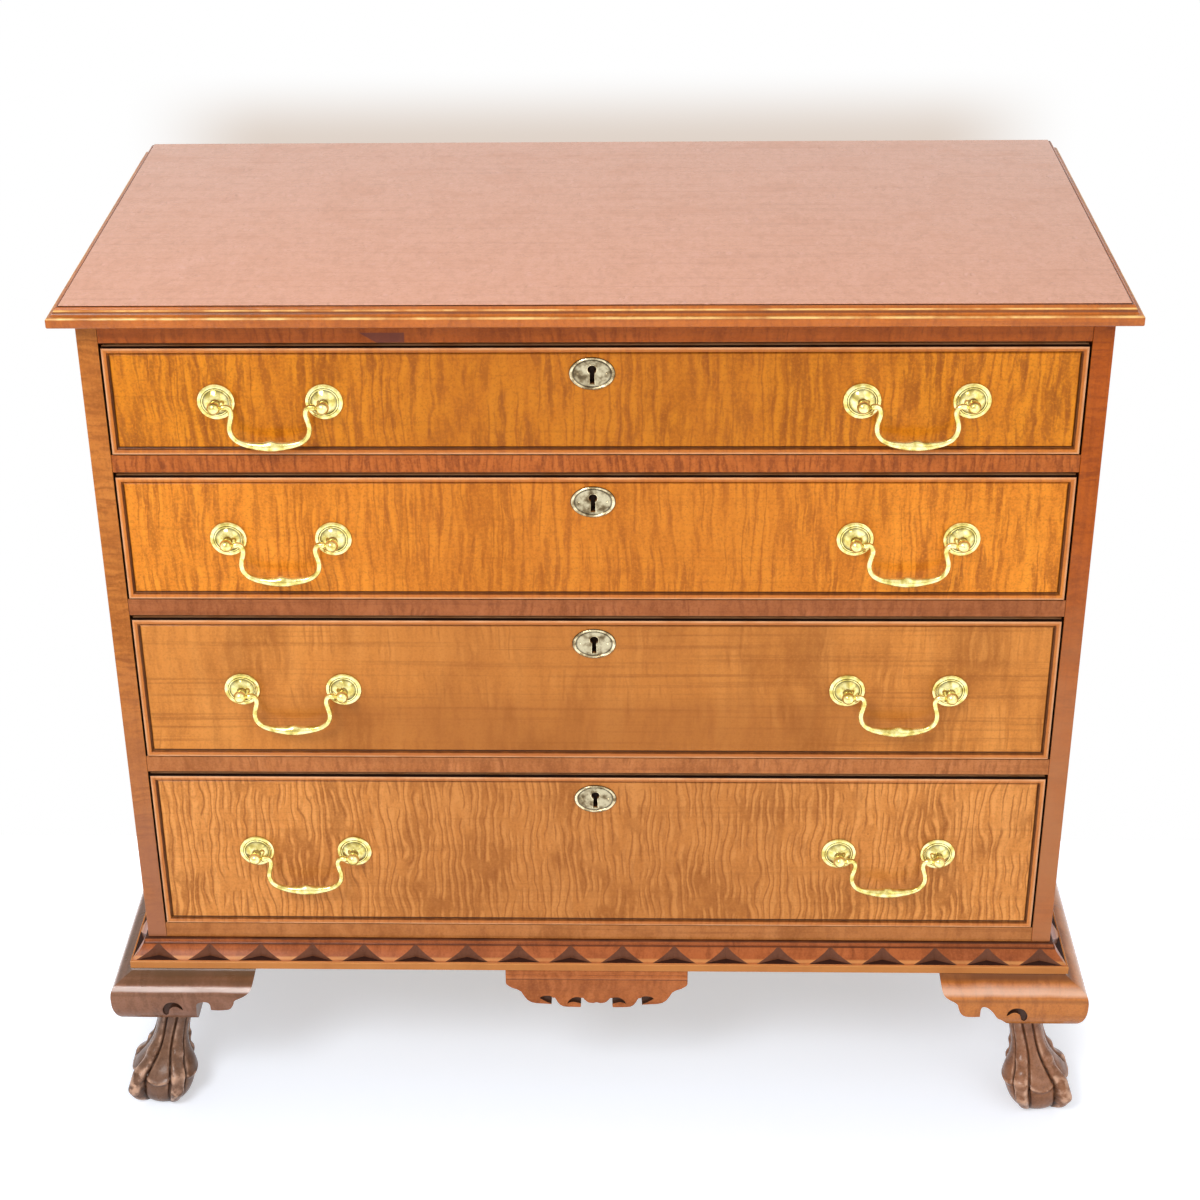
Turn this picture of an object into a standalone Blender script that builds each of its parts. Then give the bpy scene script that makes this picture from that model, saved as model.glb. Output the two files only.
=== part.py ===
"""Chest of four graduated drawers on claw feet, in curly maple with swan-neck pulls.

Metres. +X is to the right and +Y to the back as one faces the drawers, +Z is up.
The origin is on the floor under the middle of the chest.
"""
import math

import bmesh
import bpy
from mathutils import Matrix, Vector

# Whole chest, and the fit between pieces that touch
CHEST_HEIGHT = 0.9279
GAP = 0.0003

# How far a cutter reaches past what it cuts
OVERCUT = 0.010

# Case
CASE_WIDTH = 0.953
CASE_DEPTH = 0.457
SIDE_THICKNESS = 0.0195
BACK_THICKNESS = 0.010
BACK_REBATE = 0.008
HOUSING_DEPTH = 0.006
HOUSING_SETBACK = 0.015
TOP_RAIL_HEIGHT = 0.0264
TOP_RAIL_DEPTH = 0.050

# Top board
TOP_THICKNESS = 0.019
TOP_SIDE_OVERHANG = 0.0185
TOP_FRONT_OVERHANG = 0.031
TOP_BACK_OVERHANG = 0.004
TOP_LIP = 0.0100
TOP_EDGE_INSET = 0.011
TOP_STEP = 0.0016
TOP_ROUND = 0.0022

# Drawer openings in proportion to each other, top drawer first, and the frames between them
OPENING_SHARES = (114, 137, 164, 190)
RAIL_HEIGHT = 0.018
FRONT_RAIL_DEPTH = 0.060
RUNNER_WIDTH = 0.045
REAR_RAIL_DEPTH = 0.045
BOTTOM_RAIL_SHOWN = 0.0175

# Base: claw foot, bracket and moulding, from the floor up
CLAW_HEIGHT = 0.117
BRACKET_HEIGHT = 0.060
MOULDING_HEIGHT = 0.029
MOULDING_REACH = 0.0185
MOULDING_FILLET = 0.011
MOULDING_TOP_REACH = 0.0036
MOULDING_TOP_BAND = 0.0070
NOTCH_PITCH = 0.0548
NOTCH_WIDTH = 0.0412
NOTCH_DEPTH = 0.0090
NOTCH_FIRST = 0.0297
BRACKET_REACH = 0.039
BRACKET_TOP_REACH = 0.016
BRACKET_BACK = 0.004
BRACKET_LEG = 0.1155

# Claw feet
ANKLE_RADIUS = 0.0195
ANKLE_INSET = 0.0228
SOLE_INSET = 0.0005
TALON_REACH = 0.0505
BALL_RADIUS = 0.0372
TALON_SPREAD = 0.23
SIDE_TALON_TURN = 70
HEEL_FLATNESS = 0.28
FOOT_BLOCK_SIDE = 0.026
FOOT_SEGMENTS = 36
REAR_FOOT_SETBACK = 0.040

# Pendant
PENDANT_HALF_WIDTH = 0.0965
PENDANT_DROP = 0.050
PENDANT_THICKNESS = 0.013
PENDANT_SETBACK = 0.0025

# Drawers
FRONT_THICKNESS = 0.020
FRONT_SIDE_GAP = 0.0022
FRONT_TOP_GAP = 0.0040
FRONT_BOTTOM_GAP = 0.0015
BEAD_WIDTH = 0.0072
BEAD_PROUD = 0.0025
BOX_SIDE_THICKNESS = 0.011
BOX_BACK_THICKNESS = 0.010
BOX_LAP = 0.013
BOX_BELOW_OPENING_TOP = 0.008
BOX_REAR_GAP = 0.012
BOTTOM_THICKNESS = 0.006
BOTTOM_RAISED = 0.009
BOTTOM_GROOVE = 0.005

# Pulls
PULL_FROM_MIDDLE = 0.301
PULL_BORING = 0.1016
ROSETTE_RADIUS = 0.01775
ROSETTE_RIM = 0.0014
POST_NECK_RADIUS = 0.0042
POST_BALL_RADIUS = 0.0063
POST_REACH = 0.0160
BAIL_DROP = 0.0392
BAIL_WIRE = 0.0022
BAIL_GRIP = 0.0044
BAIL_PIN = 0.0016
PIN_HOLE = 0.0021
PIN_DEPTH = 0.0030

# Escutcheons
PLATE_HALF_WIDTH = 0.0215
PLATE_HALF_HEIGHT = 0.0162
PLATE_THICKNESS = 0.0012
PLATE_BELOW_TOP = 0.0265
KEYHOLE_RADIUS = 0.0032
KEYHOLE_DROP = 0.0125
KEYHOLE_SLOT = 0.0036

# What follows from the sizes above
BODY_Z = CLAW_HEIGHT + BRACKET_HEIGHT
BOTTOM_RAIL_TOP = BODY_Z + MOULDING_HEIGHT + BOTTOM_RAIL_SHOWN
BODY_TOP = CHEST_HEIGHT - TOP_THICKNESS
RAILS_BETWEEN = len(OPENING_SHARES) - 1
OPENINGS_TOTAL = BODY_TOP - TOP_RAIL_HEIGHT - BOTTOM_RAIL_TOP - RAILS_BETWEEN * RAIL_HEIGHT
OPENING_HEIGHTS = [OPENINGS_TOTAL * share / sum(OPENING_SHARES) for share in OPENING_SHARES]
TOTAL_DEPTH = BRACKET_REACH + CASE_DEPTH + TOP_BACK_OVERHANG
FRONT_Y = BRACKET_REACH - TOTAL_DEPTH / 2
BACK_Y = FRONT_Y + CASE_DEPTH
INNER_BACK_Y = BACK_Y - BACK_THICKNESS
CASE_HALF = CASE_WIDTH / 2
OPENING_HALF = CASE_HALF - SIDE_THICKNESS
FRONT_HALF = OPENING_HALF - FRONT_SIDE_GAP
BOX_BACK_Y = INNER_BACK_Y - BOX_REAR_GAP

# Colour, roughness and metallic value of each finish
TOP_MAPLE = ((0.55, 0.27, 0.12), 0.22, 0.0)
CASE_MAPLE = ((0.40, 0.15, 0.055), 0.30, 0.0)
FRONT_MAPLE = ((0.58, 0.24, 0.055), 0.28, 0.0)
FOOT_MAPLE = ((0.20, 0.075, 0.032), 0.32, 0.0)
DRAWER_POPLAR = ((0.62, 0.46, 0.27), 0.60, 0.0)
BRASS = ((0.90, 0.76, 0.34), 0.14, 1.0)
AGED_PLATE = ((0.42, 0.37, 0.28), 0.34, 1.0)


def new_collection(name):
    """A collection under the scene, emptied of any earlier one of that name."""
    old = bpy.data.collections.get(name)
    if old:
        bpy.data.collections.remove(old)
    collection = bpy.data.collections.new(name)
    bpy.context.scene.collection.children.link(collection)
    return collection


def finish_material(name, finish):
    """A Principled material of a piece, from its colour, roughness and metallic value."""
    color, roughness, metallic = finish
    material = bpy.data.materials.new(name + "_finish")
    material.use_nodes = True
    shader = material.node_tree.nodes["Principled BSDF"]
    shader.inputs["Base Color"].default_value = (*color, 1.0)
    shader.inputs["Roughness"].default_value = roughness
    shader.inputs["Metallic"].default_value = metallic
    material.diffuse_color = (*color, 1.0)
    return material


def add_piece(name, mesh, finish, location=(0, 0, 0), smooth=False):
    """Adds a finished piece of the chest, its mesh given round its own origin."""
    mesh.name = name
    piece = bpy.data.objects.new(name, mesh)
    piece.location = location
    mesh.materials.append(finish_material(name, finish))
    if smooth:
        mesh.shade_smooth()
        mesh.set_sharp_from_angle(angle=math.radians(35))
    parts.objects.link(piece)
    return piece


def add_cutter(name, mesh, location=(0, 0, 0)):
    """Adds a tool for a Boolean, drawn as wires and left out of renders."""
    cutter = bpy.data.objects.new(name, mesh)
    cutter.location = location
    cutter.hide_render = True
    cutter.display_type = "WIRE"
    cutters.objects.link(cutter)
    return cutter


def cut(piece, cutter):
    """Takes the cutter's shape out of the piece."""
    boolean = piece.modifiers.new("cut_" + cutter.name, "BOOLEAN")
    boolean.operation = "DIFFERENCE"
    boolean.solver = "EXACT"
    boolean.object = cutter


def mesh_from(work, name):
    """The mesh of a finished bmesh."""
    mesh = bpy.data.meshes.new(name)
    work.to_mesh(mesh)
    work.free()
    return mesh


def box_mesh(name, boxes):
    """Boxes in one mesh, each given by its lowest and highest corner."""
    work = bmesh.new()
    for low, high in boxes:
        low = Vector(low)
        high = Vector(high)
        size = Matrix.Diagonal((*(high - low), 1.0))
        middle = Matrix.Translation((low + high) / 2)
        bmesh.ops.create_cube(work, size=1.0, matrix=middle @ size)
    return mesh_from(work, name)


def add_board(name, low, high, finish):
    """A plain board between two corners, with its origin at its middle."""
    middle = (Vector(low) + Vector(high)) / 2
    mesh = box_mesh(name, [(Vector(low) - middle, Vector(high) - middle)])
    return add_piece(name, mesh, finish, middle)


def outline_mesh(name, outlines, thickness):
    """A flat outline in X and Y, with any holes, as a solid of this thickness about Z 0."""
    curve = bpy.data.curves.new(name, "CURVE")
    curve.dimensions = "2D"
    curve.fill_mode = "BOTH"
    curve.extrude = thickness / 2
    for points in outlines:
        spline = curve.splines.new("POLY")
        spline.points.add(len(points) - 1)
        for point, (x, y) in zip(spline.points, points):
            point.co = (x, y, 0.0, 1.0)
        spline.use_cyclic_u = True
    drawn = bpy.data.objects.new(name, curve)
    bpy.context.scene.collection.objects.link(drawn)
    evaluated = drawn.evaluated_get(bpy.context.evaluated_depsgraph_get())
    mesh = bpy.data.meshes.new_from_object(evaluated)
    bpy.data.objects.remove(drawn)
    bpy.data.curves.remove(curve)
    work = bmesh.new()
    work.from_mesh(mesh)
    bmesh.ops.remove_doubles(work, verts=work.verts, dist=0.00001)
    bmesh.ops.recalc_face_normals(work, faces=work.faces)
    work.to_mesh(mesh)
    work.free()
    return mesh


def arc(middle, radius, start, end, steps):
    """Points of an arc in degrees, both ends included."""
    points = []
    for step in range(steps + 1):
        angle = math.radians(start + (end - start) * step / steps)
        across = middle[0] + radius * math.cos(angle)
        points.append((across, middle[1] + radius * math.sin(angle)))
    return points


def ring_loft(name, rings):
    """A closed solid through rings of equally many points, listed upwards and anticlockwise."""
    work = bmesh.new()
    loops = [[work.verts.new(point) for point in ring] for ring in rings]
    count = len(rings[0])
    work.faces.new(list(reversed(loops[0])))
    work.faces.new(loops[-1])
    for lower, upper in zip(loops, loops[1:]):
        for i in range(count):
            after = (i + 1) % count
            work.faces.new((lower[i], lower[after], upper[after], upper[i]))
    bmesh.ops.recalc_face_normals(work, faces=work.faces)
    return mesh_from(work, name)


# Case
def opening_tops():
    """The height of the top of each drawer opening, top drawer first."""
    heights = []
    top = BODY_TOP - TOP_RAIL_HEIGHT
    for opening in OPENING_HEIGHTS:
        heights.append(top)
        top -= opening + RAIL_HEIGHT
    return heights


def frame_tops():
    """The height of the top face of each frame that a drawer runs on, top drawer first."""
    return [top - opening for top, opening in zip(opening_tops(), OPENING_HEIGHTS)]


def build_top():
    """The top board, with a step, a hollow and a round lip on its front and both ends."""
    arris = TOP_THICKNESS - TOP_LIP
    hollow = arris - TOP_STEP
    profile = [
        (TOP_ROUND, 0.0),
        (0.0, TOP_ROUND),
        (0.0, TOP_LIP - TOP_ROUND),
        (TOP_ROUND * 0.70, TOP_LIP),
        (TOP_EDGE_INSET * 0.40, TOP_LIP + hollow * 0.22),
        (TOP_EDGE_INSET * 0.62, TOP_LIP + hollow * 0.55),
        (TOP_EDGE_INSET * 0.70, TOP_LIP + hollow),
        (TOP_EDGE_INSET, TOP_LIP + hollow),
        (TOP_EDGE_INSET, TOP_THICKNESS),
    ]
    half = CASE_HALF + TOP_SIDE_OVERHANG
    front = FRONT_Y - TOP_FRONT_OVERHANG
    back = BACK_Y + TOP_BACK_OVERHANG
    rings = []
    for inset, height in profile:
        side = half - inset
        corners = ((-side, front + inset), (side, front + inset), (side, back), (-side, back))
        rings.append([(x, y, height) for x, y in corners])
    add_piece("top_board", ring_loft("top_board", rings), TOP_MAPLE, (0, 0, BODY_TOP))


def side_slots():
    """What is cut from the inner face of a side: the back's rebate and a housing for each frame."""
    face = OPENING_HALF - OVERCUT
    rebate_low = (face, INNER_BACK_Y - GAP, BODY_Z - OVERCUT)
    rebate_high = (OPENING_HALF + BACK_REBATE, BACK_Y + OVERCUT, BODY_TOP + OVERCUT)
    slots = [(rebate_low, rebate_high)]
    for top in frame_tops():
        low = (face, FRONT_Y + HOUSING_SETBACK - GAP, top - RAIL_HEIGHT - GAP)
        high = (OPENING_HALF + HOUSING_DEPTH, INNER_BACK_Y + GAP, top + GAP)
        slots.append((low, high))
    return slots


def build_sides():
    """The two ends of the case, housed for the frames and rebated for the back."""
    for name, side in (("case_side_left", -1), ("case_side_right", 1)):
        across = sorted((side * CASE_HALF, side * OPENING_HALF))
        low = (across[0], FRONT_Y, BODY_Z + GAP)
        high = (across[1], BACK_Y, BODY_TOP - GAP)
        board = add_board(name, low, high, CASE_MAPLE)
        for number, (near, far) in enumerate(side_slots()):
            ends = sorted((side * near[0], side * far[0]))
            tool = box_mesh(name, [((ends[0], *near[1:]), (ends[1], *far[1:]))])
            cut(board, add_cutter(f"{name}_slot_{number}", tool))


def build_back():
    """The back panel, let into the rebates of the two sides."""
    half = OPENING_HALF + BACK_REBATE - GAP
    low = (-half, INNER_BACK_Y, BODY_Z + GAP)
    high = (half, BACK_Y, BODY_TOP - GAP)
    add_board("back_panel", low, high, DRAWER_POPLAR)


def build_top_rail():
    """The rail over the top drawer, between the sides and under the top board."""
    half = OPENING_HALF - GAP
    low = (-half, FRONT_Y, BODY_TOP - TOP_RAIL_HEIGHT)
    high = (half, FRONT_Y + TOP_RAIL_DEPTH, BODY_TOP - GAP)
    add_board("top_rail", low, high, CASE_MAPLE)


def frame_outline():
    """The outline of a drawer frame with its shouldered ends, and the opening in its middle."""
    narrow = OPENING_HALF - GAP
    wide = OPENING_HALF + HOUSING_DEPTH - GAP
    shoulder = FRONT_Y + HOUSING_SETBACK
    back = INNER_BACK_Y - GAP
    outer = [
        (-narrow, FRONT_Y), (narrow, FRONT_Y), (narrow, shoulder), (wide, shoulder),
        (wide, back), (-wide, back), (-wide, shoulder), (-narrow, shoulder),
    ]
    side = OPENING_HALF - RUNNER_WIDTH
    near = FRONT_Y + FRONT_RAIL_DEPTH
    far = back - REAR_RAIL_DEPTH
    inner = [(-side, near), (side, near), (side, far), (-side, far)]
    return outer, inner


def build_frames():
    """The four frames that the drawers run on, the lowest with a deeper rail in front."""
    names = ("drawer_frame_1", "drawer_frame_2", "drawer_frame_3", "bottom_frame")
    for name, top in zip(names, frame_tops()):
        mesh = outline_mesh(name, frame_outline(), RAIL_HEIGHT)
        add_piece(name, mesh, CASE_MAPLE, (0, 0, top - RAIL_HEIGHT / 2))
    half = OPENING_HALF - GAP
    low = (-half, FRONT_Y, BODY_Z + GAP)
    high = (half, FRONT_Y + HOUSING_SETBACK, BOTTOM_RAIL_TOP - RAIL_HEIGHT - GAP)
    add_board("moulding_backing", low, high, CASE_MAPLE)


# Base
def moulding_profile():
    """The base moulding's section, outwards and upwards from the foot of the case face."""
    band = MOULDING_HEIGHT - MOULDING_TOP_BAND
    ledge = MOULDING_REACH - 0.0018
    run = ledge - MOULDING_TOP_REACH - 0.0012
    rise = band - MOULDING_FILLET
    hollow = [
        (ledge - run * 0.34, MOULDING_FILLET + rise * 0.14),
        (ledge - run * 0.66, MOULDING_FILLET + rise * 0.42),
        (ledge - run * 0.90, MOULDING_FILLET + rise * 0.80),
        (ledge - run, MOULDING_FILLET + rise),
    ]
    foot = [(GAP, GAP), (MOULDING_REACH, GAP), (MOULDING_REACH, MOULDING_FILLET)]
    head = [(MOULDING_TOP_REACH, band), (MOULDING_TOP_REACH, MOULDING_HEIGHT)]
    return foot + [(ledge, MOULDING_FILLET)] + hollow + head + [(GAP, MOULDING_HEIGHT)]


def strip_mesh(name, profile, start, length, end_mitre):
    """A length of moulding along X with its section outwards along -Y, mitred at its start.

    Its far end is mitred too where end_mitre is 1.
    """
    work = bmesh.new()
    starts = [work.verts.new((start - out, -out, up)) for out, up in profile]
    ends = [work.verts.new((length + out * end_mitre, -out, up)) for out, up in profile]
    work.faces.new(starts)
    work.faces.new(list(reversed(ends)))
    count = len(profile)
    for i in range(count):
        after = (i + 1) % count
        work.faces.new((starts[i], ends[i], ends[after], starts[after]))
    bmesh.ops.recalc_face_normals(work, faces=work.faces)
    return mesh_from(work, name)


def notch_cutter(name, middles):
    """Three-sided chips, at these distances along X, for a strip that faces -Y."""
    ledge = MOULDING_REACH - 0.0008
    apex_up = MOULDING_HEIGHT - MOULDING_TOP_BAND + 0.0004
    apex_out = MOULDING_TOP_REACH + 0.0006
    half = NOTCH_WIDTH / 2
    work = bmesh.new()
    for x in middles:
        corners = [
            (x - half, -ledge, MOULDING_FILLET),
            (x + half, -ledge, MOULDING_FILLET),
            (x, -(ledge - NOTCH_DEPTH), MOULDING_FILLET),
            (x, -apex_out, apex_up),
            (x, -(MOULDING_REACH + OVERCUT), apex_up),
        ]
        verts = [work.verts.new(corner) for corner in corners]
        bmesh.ops.convex_hull(work, input=verts)
    bmesh.ops.recalc_face_normals(work, faces=work.faces)
    return mesh_from(work, name)


def side_matrix(side):
    """Turns a strip made along X and facing -Y to face left or right, starting at the case's front."""
    if side > 0:
        return Matrix.Rotation(math.radians(90), 4, "Z")
    mirror = Matrix.Diagonal((-1.0, 1.0, 1.0, 1.0))
    return mirror @ Matrix.Rotation(math.radians(90), 4, "Z")


def add_side_strip(name, mesh, side, height, finish, smooth=False):
    """Adds a strip to one side of the case, with its origin at the case's front corner."""
    mesh.transform(side_matrix(side))
    if side < 0:
        mesh.flip_normals()
    return add_piece(name, mesh, finish, (side * CASE_HALF, FRONT_Y, height), smooth)


def build_base_moulding():
    """The chip-carved moulding round the foot of the case, mitred at both front corners."""
    front_mesh = strip_mesh("base_moulding_front", moulding_profile(), 0.0, CASE_WIDTH, 1)
    place = (-CASE_HALF, FRONT_Y, BODY_Z)
    front = add_piece("base_moulding_front", front_mesh, CASE_MAPLE, place)
    run = CASE_WIDTH + 2 * MOULDING_REACH - 2 * NOTCH_FIRST
    count = round(run / NOTCH_PITCH) + 1
    first = CASE_HALF - (count - 1) * NOTCH_PITCH / 2
    middles = [first + i * NOTCH_PITCH for i in range(count)]
    cut(front, add_cutter("front_notches", notch_cutter("front_notches", middles), place))
    side_count = int((CASE_DEPTH + MOULDING_REACH - NOTCH_FIRST) / NOTCH_PITCH)
    middles = [NOTCH_FIRST - MOULDING_REACH + i * NOTCH_PITCH for i in range(side_count)]
    for name, side in (("base_moulding_left", -1), ("base_moulding_right", 1)):
        mesh = strip_mesh(name, moulding_profile(), GAP, CASE_DEPTH, 0)
        strip = add_side_strip(name, mesh, side, BODY_Z, CASE_MAPLE)
        tool = notch_cutter(name + "_notches", middles)
        tool.transform(side_matrix(side))
        if side < 0:
            tool.flip_normals()
        cut(strip, add_cutter(name + "_notches", tool, strip.location))


def bracket_profile():
    """The bracket's ogee section, outwards and downwards from the foot of the case face."""
    rise = BRACKET_REACH - BRACKET_TOP_REACH
    shape = (
        (0.00, 0.00), (0.02, 0.07), (0.16, 0.15), (0.48, 0.225), (0.78, 0.30), (0.95, 0.39),
        (1.00, 0.50), (0.98, 0.70), (0.93, 0.84), (0.76, 0.94), (0.50, 1.00),
    )
    drop = BRACKET_HEIGHT - GAP
    outside = [(BRACKET_TOP_REACH + rise * out, -GAP - (drop - GAP) * down) for out, down in shape]
    return [(-BRACKET_BACK, -GAP), *outside, (-BRACKET_BACK, -drop)]


def scroll_curve(side):
    """The sawn lower edge of a bracket's front leg, along the leg and upwards, from the foot inwards.

    Its spur, arch and lobe and then its tail are shares of the leg's length and the bracket's height.
    """
    if side > 0:
        arch = (
            (0.350, 0.0), (0.382, 0.10), (0.425, 0.20), (0.470, 0.262), (0.510, 0.392), (0.556, 0.496),
            (0.598, 0.538), (0.627, 0.513), (0.632, 0.431), (0.632, 0.300), (0.757, 0.300), (0.801, 0.364),
        )
        tail = ((0.831, 0.491), (0.850, 0.598), (0.916, 0.679), (0.965, 0.750), (0.990, 0.860), (1.0, 1.04))
    else:
        arch = (
            (0.436, 0.0), (0.439, 0.20), (0.445, 0.35), (0.450, 0.458), (0.472, 0.505), (0.521, 0.526),
            (0.566, 0.503), (0.578, 0.440), (0.580, 0.338), (0.580, 0.336), (0.707, 0.336), (0.756, 0.367),
        )
        tail = ((0.790, 0.464), (0.803, 0.551), (0.844, 0.601), (0.910, 0.673), (0.965, 0.790), (1.0, 1.04))
    sawn = [[(BRACKET_LEG * along, BRACKET_HEIGHT * up) for along, up in shape] for shape in (arch, tail)]
    return [(sawn[0][0][0], -2 * GAP)] + sawn[0], sawn[1]


def front_scroll_waste(side):
    """What is sawn from the inner end of a bracket's front leg."""
    arch, tail = scroll_curve(side)
    far = BRACKET_LEG + 2 * OVERCUT
    return arch + tail + [(far, tail[-1][1]), (far, arch[0][1])]


def side_scroll_waste(side):
    """What is sawn from under the side run, between the scrolls by its front and rear feet."""
    arch, tail = scroll_curve(side)
    near = arch + tail[:3]
    far = [(CASE_DEPTH - REAR_FOOT_SETBACK - x, y) for x, y in reversed(near)]
    return near + far


def bracket_mesh(name, side):
    """A short leg along the front mitred to a run along the side, before the scrolls are sawn."""
    profile = bracket_profile()
    work = bmesh.new()
    corner = [work.verts.new((side * out, -out, up)) for out, up in profile]
    leg = [work.verts.new((-side * (BRACKET_LEG + OVERCUT), -out, up)) for out, up in profile]
    run = [work.verts.new((side * out, CASE_DEPTH, up)) for out, up in profile]
    work.faces.new(leg)
    work.faces.new(run)
    for i, point in enumerate(corner):
        after = (i + 1) % len(corner)
        work.faces.new((leg[i], point, corner[after], leg[after]))
        work.faces.new((point, run[i], run[after], corner[after]))
    bmesh.ops.recalc_face_normals(work, faces=work.faces)
    return mesh_from(work, name)


def build_brackets():
    """The ogee bracket base of each side, its lower edge sawn to scrolls by two cutters."""
    upright = Matrix.Rotation(math.radians(90), 4, "X")
    along_side = Matrix.Rotation(math.radians(90), 4, "Z")
    for name, side in (("bracket_base_left", -1), ("bracket_base_right", 1)):
        place = (side * CASE_HALF, FRONT_Y, BODY_Z)
        bracket = add_piece(name, bracket_mesh(name, side), FOOT_MAPLE, place)
        inwards = Matrix.Diagonal((-side, 1.0, 1.0, 1.0))
        foot = Vector((place[0], place[1], CLAW_HEIGHT))
        through = 2 * (BRACKET_REACH + OVERCUT)
        front = outline_mesh(name, [front_scroll_waste(side)], through)
        front.transform(inwards @ upright)
        if side > 0:
            front.flip_normals()
        cut(bracket, add_cutter(name + "_front_scroll", front, foot))
        along = outline_mesh(name, [side_scroll_waste(side)], through)
        along.transform(along_side @ upright)
        cut(bracket, add_cutter(name + "_side_scroll", along, foot))


def claw_reach(angle, rise, web, talon, spread):
    """How far the foot reaches at this angle: flatter at its heel, with three talons and a spur."""
    heel = HEEL_FLATNESS * max(0.0, -math.cos(angle)) * min(1.0, 4 * (1.0 - rise))
    body = web * (1 - heel)
    reach = body
    side_turn = math.radians(SIDE_TALON_TURN)
    for turn, share in ((0.0, 1.0), (side_turn, 0.88), (-side_turn, 0.88), (math.pi, 0.62)):
        off = (angle - turn + math.pi) % (2 * math.pi) - math.pi
        grown = share + (1 - share) * min(1.0, max(0.0, 2 * rise - 0.5))
        own = max(body, talon * grown)
        reach = max(reach, body + (own - body) * math.exp(-((off / spread) ** 2)))
    return reach


def claw_rings():
    """The claw foot's rings from the sole up, turned out along +X, about the middle of its sole.

    Each step is a share of the claw's height, of the talons' and of the ball's reach, and a widening.
    """
    steps = (
        (0.00, 0.60, 0.67, 1.00), (0.05, 0.82, 0.83, 1.00), (0.13, 0.97, 0.94, 1.00),
        (0.20, 1.00, 1.00, 1.00), (0.27, 0.97, 1.02, 1.00), (0.34, 0.88, 0.93, 1.05),
        (0.42, 0.68, 0.765, 1.20), (0.50, 0.56, 0.60, 1.40), (0.58, 0.46, 0.48, 1.60),
        (0.68, 0.39, 0.45, 1.80), (0.84, 0.385, 0.47, 2.00),
    )
    lean = math.sqrt(2) * (ANKLE_INSET - SOLE_INSET)
    top = CLAW_HEIGHT - GAP
    rings = []
    for rise, talon, web, widening in steps:
        inward = lean * rise ** 1.35
        ring = []
        for i in range(FOOT_SEGMENTS):
            angle = 2 * math.pi * i / FOOT_SEGMENTS
            spread = TALON_SPREAD * widening
            reach = claw_reach(angle, rise, web * BALL_RADIUS, talon * TALON_REACH, spread)
            place = (reach * math.cos(angle) - inward, reach * math.sin(angle))
            ring.append((*place, rise * CLAW_HEIGHT))
        rings.append(ring)
    ankle = [(ANKLE_RADIUS * x - lean, ANKLE_RADIUS * y) for x, y in unit_ring(FOOT_SEGMENTS)]
    half = FOOT_BLOCK_SIDE / 2
    block = [(half * x - lean, half * y) for x, y in square_ring(FOOT_SEGMENTS)]
    for outline, height in ((ankle, top), (block, top), (block, BODY_Z - GAP)):
        rings.append([(x, y, height) for x, y in outline])
    return rings


def unit_ring(count):
    """Points of a circle of radius 1, anticlockwise from +X."""
    angles = [2 * math.pi * i / count for i in range(count)]
    return [(math.cos(angle), math.sin(angle)) for angle in angles]


def square_ring(count):
    """Points of a square of half side 1, set corner first, at the same angles as the circle."""
    points = []
    for x, y in unit_ring(count):
        turned_x = (x - y) / math.sqrt(2)
        turned_y = (x + y) / math.sqrt(2)
        scale = 1.0 / max(abs(turned_x), abs(turned_y))
        points.append((x * scale, y * scale))
    return points


def build_claws():
    """The four claw feet, each turned out along its corner, with the block that holds it inside."""
    corners = (
        ("claw_foot_front_left", -1, -1), ("claw_foot_front_right", 1, -1),
        ("claw_foot_rear_left", -1, 1), ("claw_foot_rear_right", 1, 1),
    )
    for name, side, rear in corners:
        mesh = ring_loft(name, claw_rings())
        mesh.transform(Matrix.Rotation(math.atan2(rear, side), 4, "Z"))
        depth = FRONT_Y + SOLE_INSET if rear < 0 else BACK_Y - REAR_FOOT_SETBACK
        place = (side * (CASE_HALF - SOLE_INSET), depth, 0)
        add_piece(name, mesh, FOOT_MAPLE, place, smooth=True)


def pendant_outline():
    """The pendant's outline: steps at its ends, then two slits and three lobes on each side.

    One half is given from its top corner to the middle, in shares of half its width and its drop.
    """
    half = (
        (1.0, 0.0), (1.0, 0.381), (0.974, 0.442), (0.938, 0.491), (0.839, 0.571), (0.803, 0.724),
        (0.767, 0.829), (0.694, 0.899), (0.497, 0.918), (0.492, 0.762), (0.456, 0.762), (0.43, 0.876),
        (0.373, 0.987), (0.181, 1.0), (0.171, 0.762), (0.145, 0.762), (0.088, 0.88), (0.041, 0.895),
    )
    right = [(PENDANT_HALF_WIDTH * x, -PENDANT_DROP * y) for x, y in half]
    left = [(-x, y) for x, y in reversed(right)]
    return right + [(0.0, -PENDANT_DROP * 0.872)] + left


def build_pendant():
    """The scroll-cut pendant under the middle of the front moulding."""
    mesh = outline_mesh("pendant", [pendant_outline()], PENDANT_THICKNESS)
    mesh.transform(Matrix.Rotation(math.radians(90), 4, "X"))
    middle = FRONT_Y - MOULDING_REACH + PENDANT_SETBACK + PENDANT_THICKNESS / 2
    add_piece("pendant", mesh, CASE_MAPLE, (0, middle, BODY_Z))


# Drawers
def drawer_empty(number, top):
    """The empty that a drawer and its fittings hang from, on the drawer's sliding axis."""
    slide = bpy.data.objects.new(f"drawer_{number}_slide", None)
    slide.location = (0, FRONT_Y, top)
    parts.objects.link(slide)
    return slide


def hold(child, parent):
    """Hangs a piece from an empty, where it is."""
    child.parent = parent
    child.matrix_parent_inverse = Matrix.Translation(-parent.location)


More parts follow.
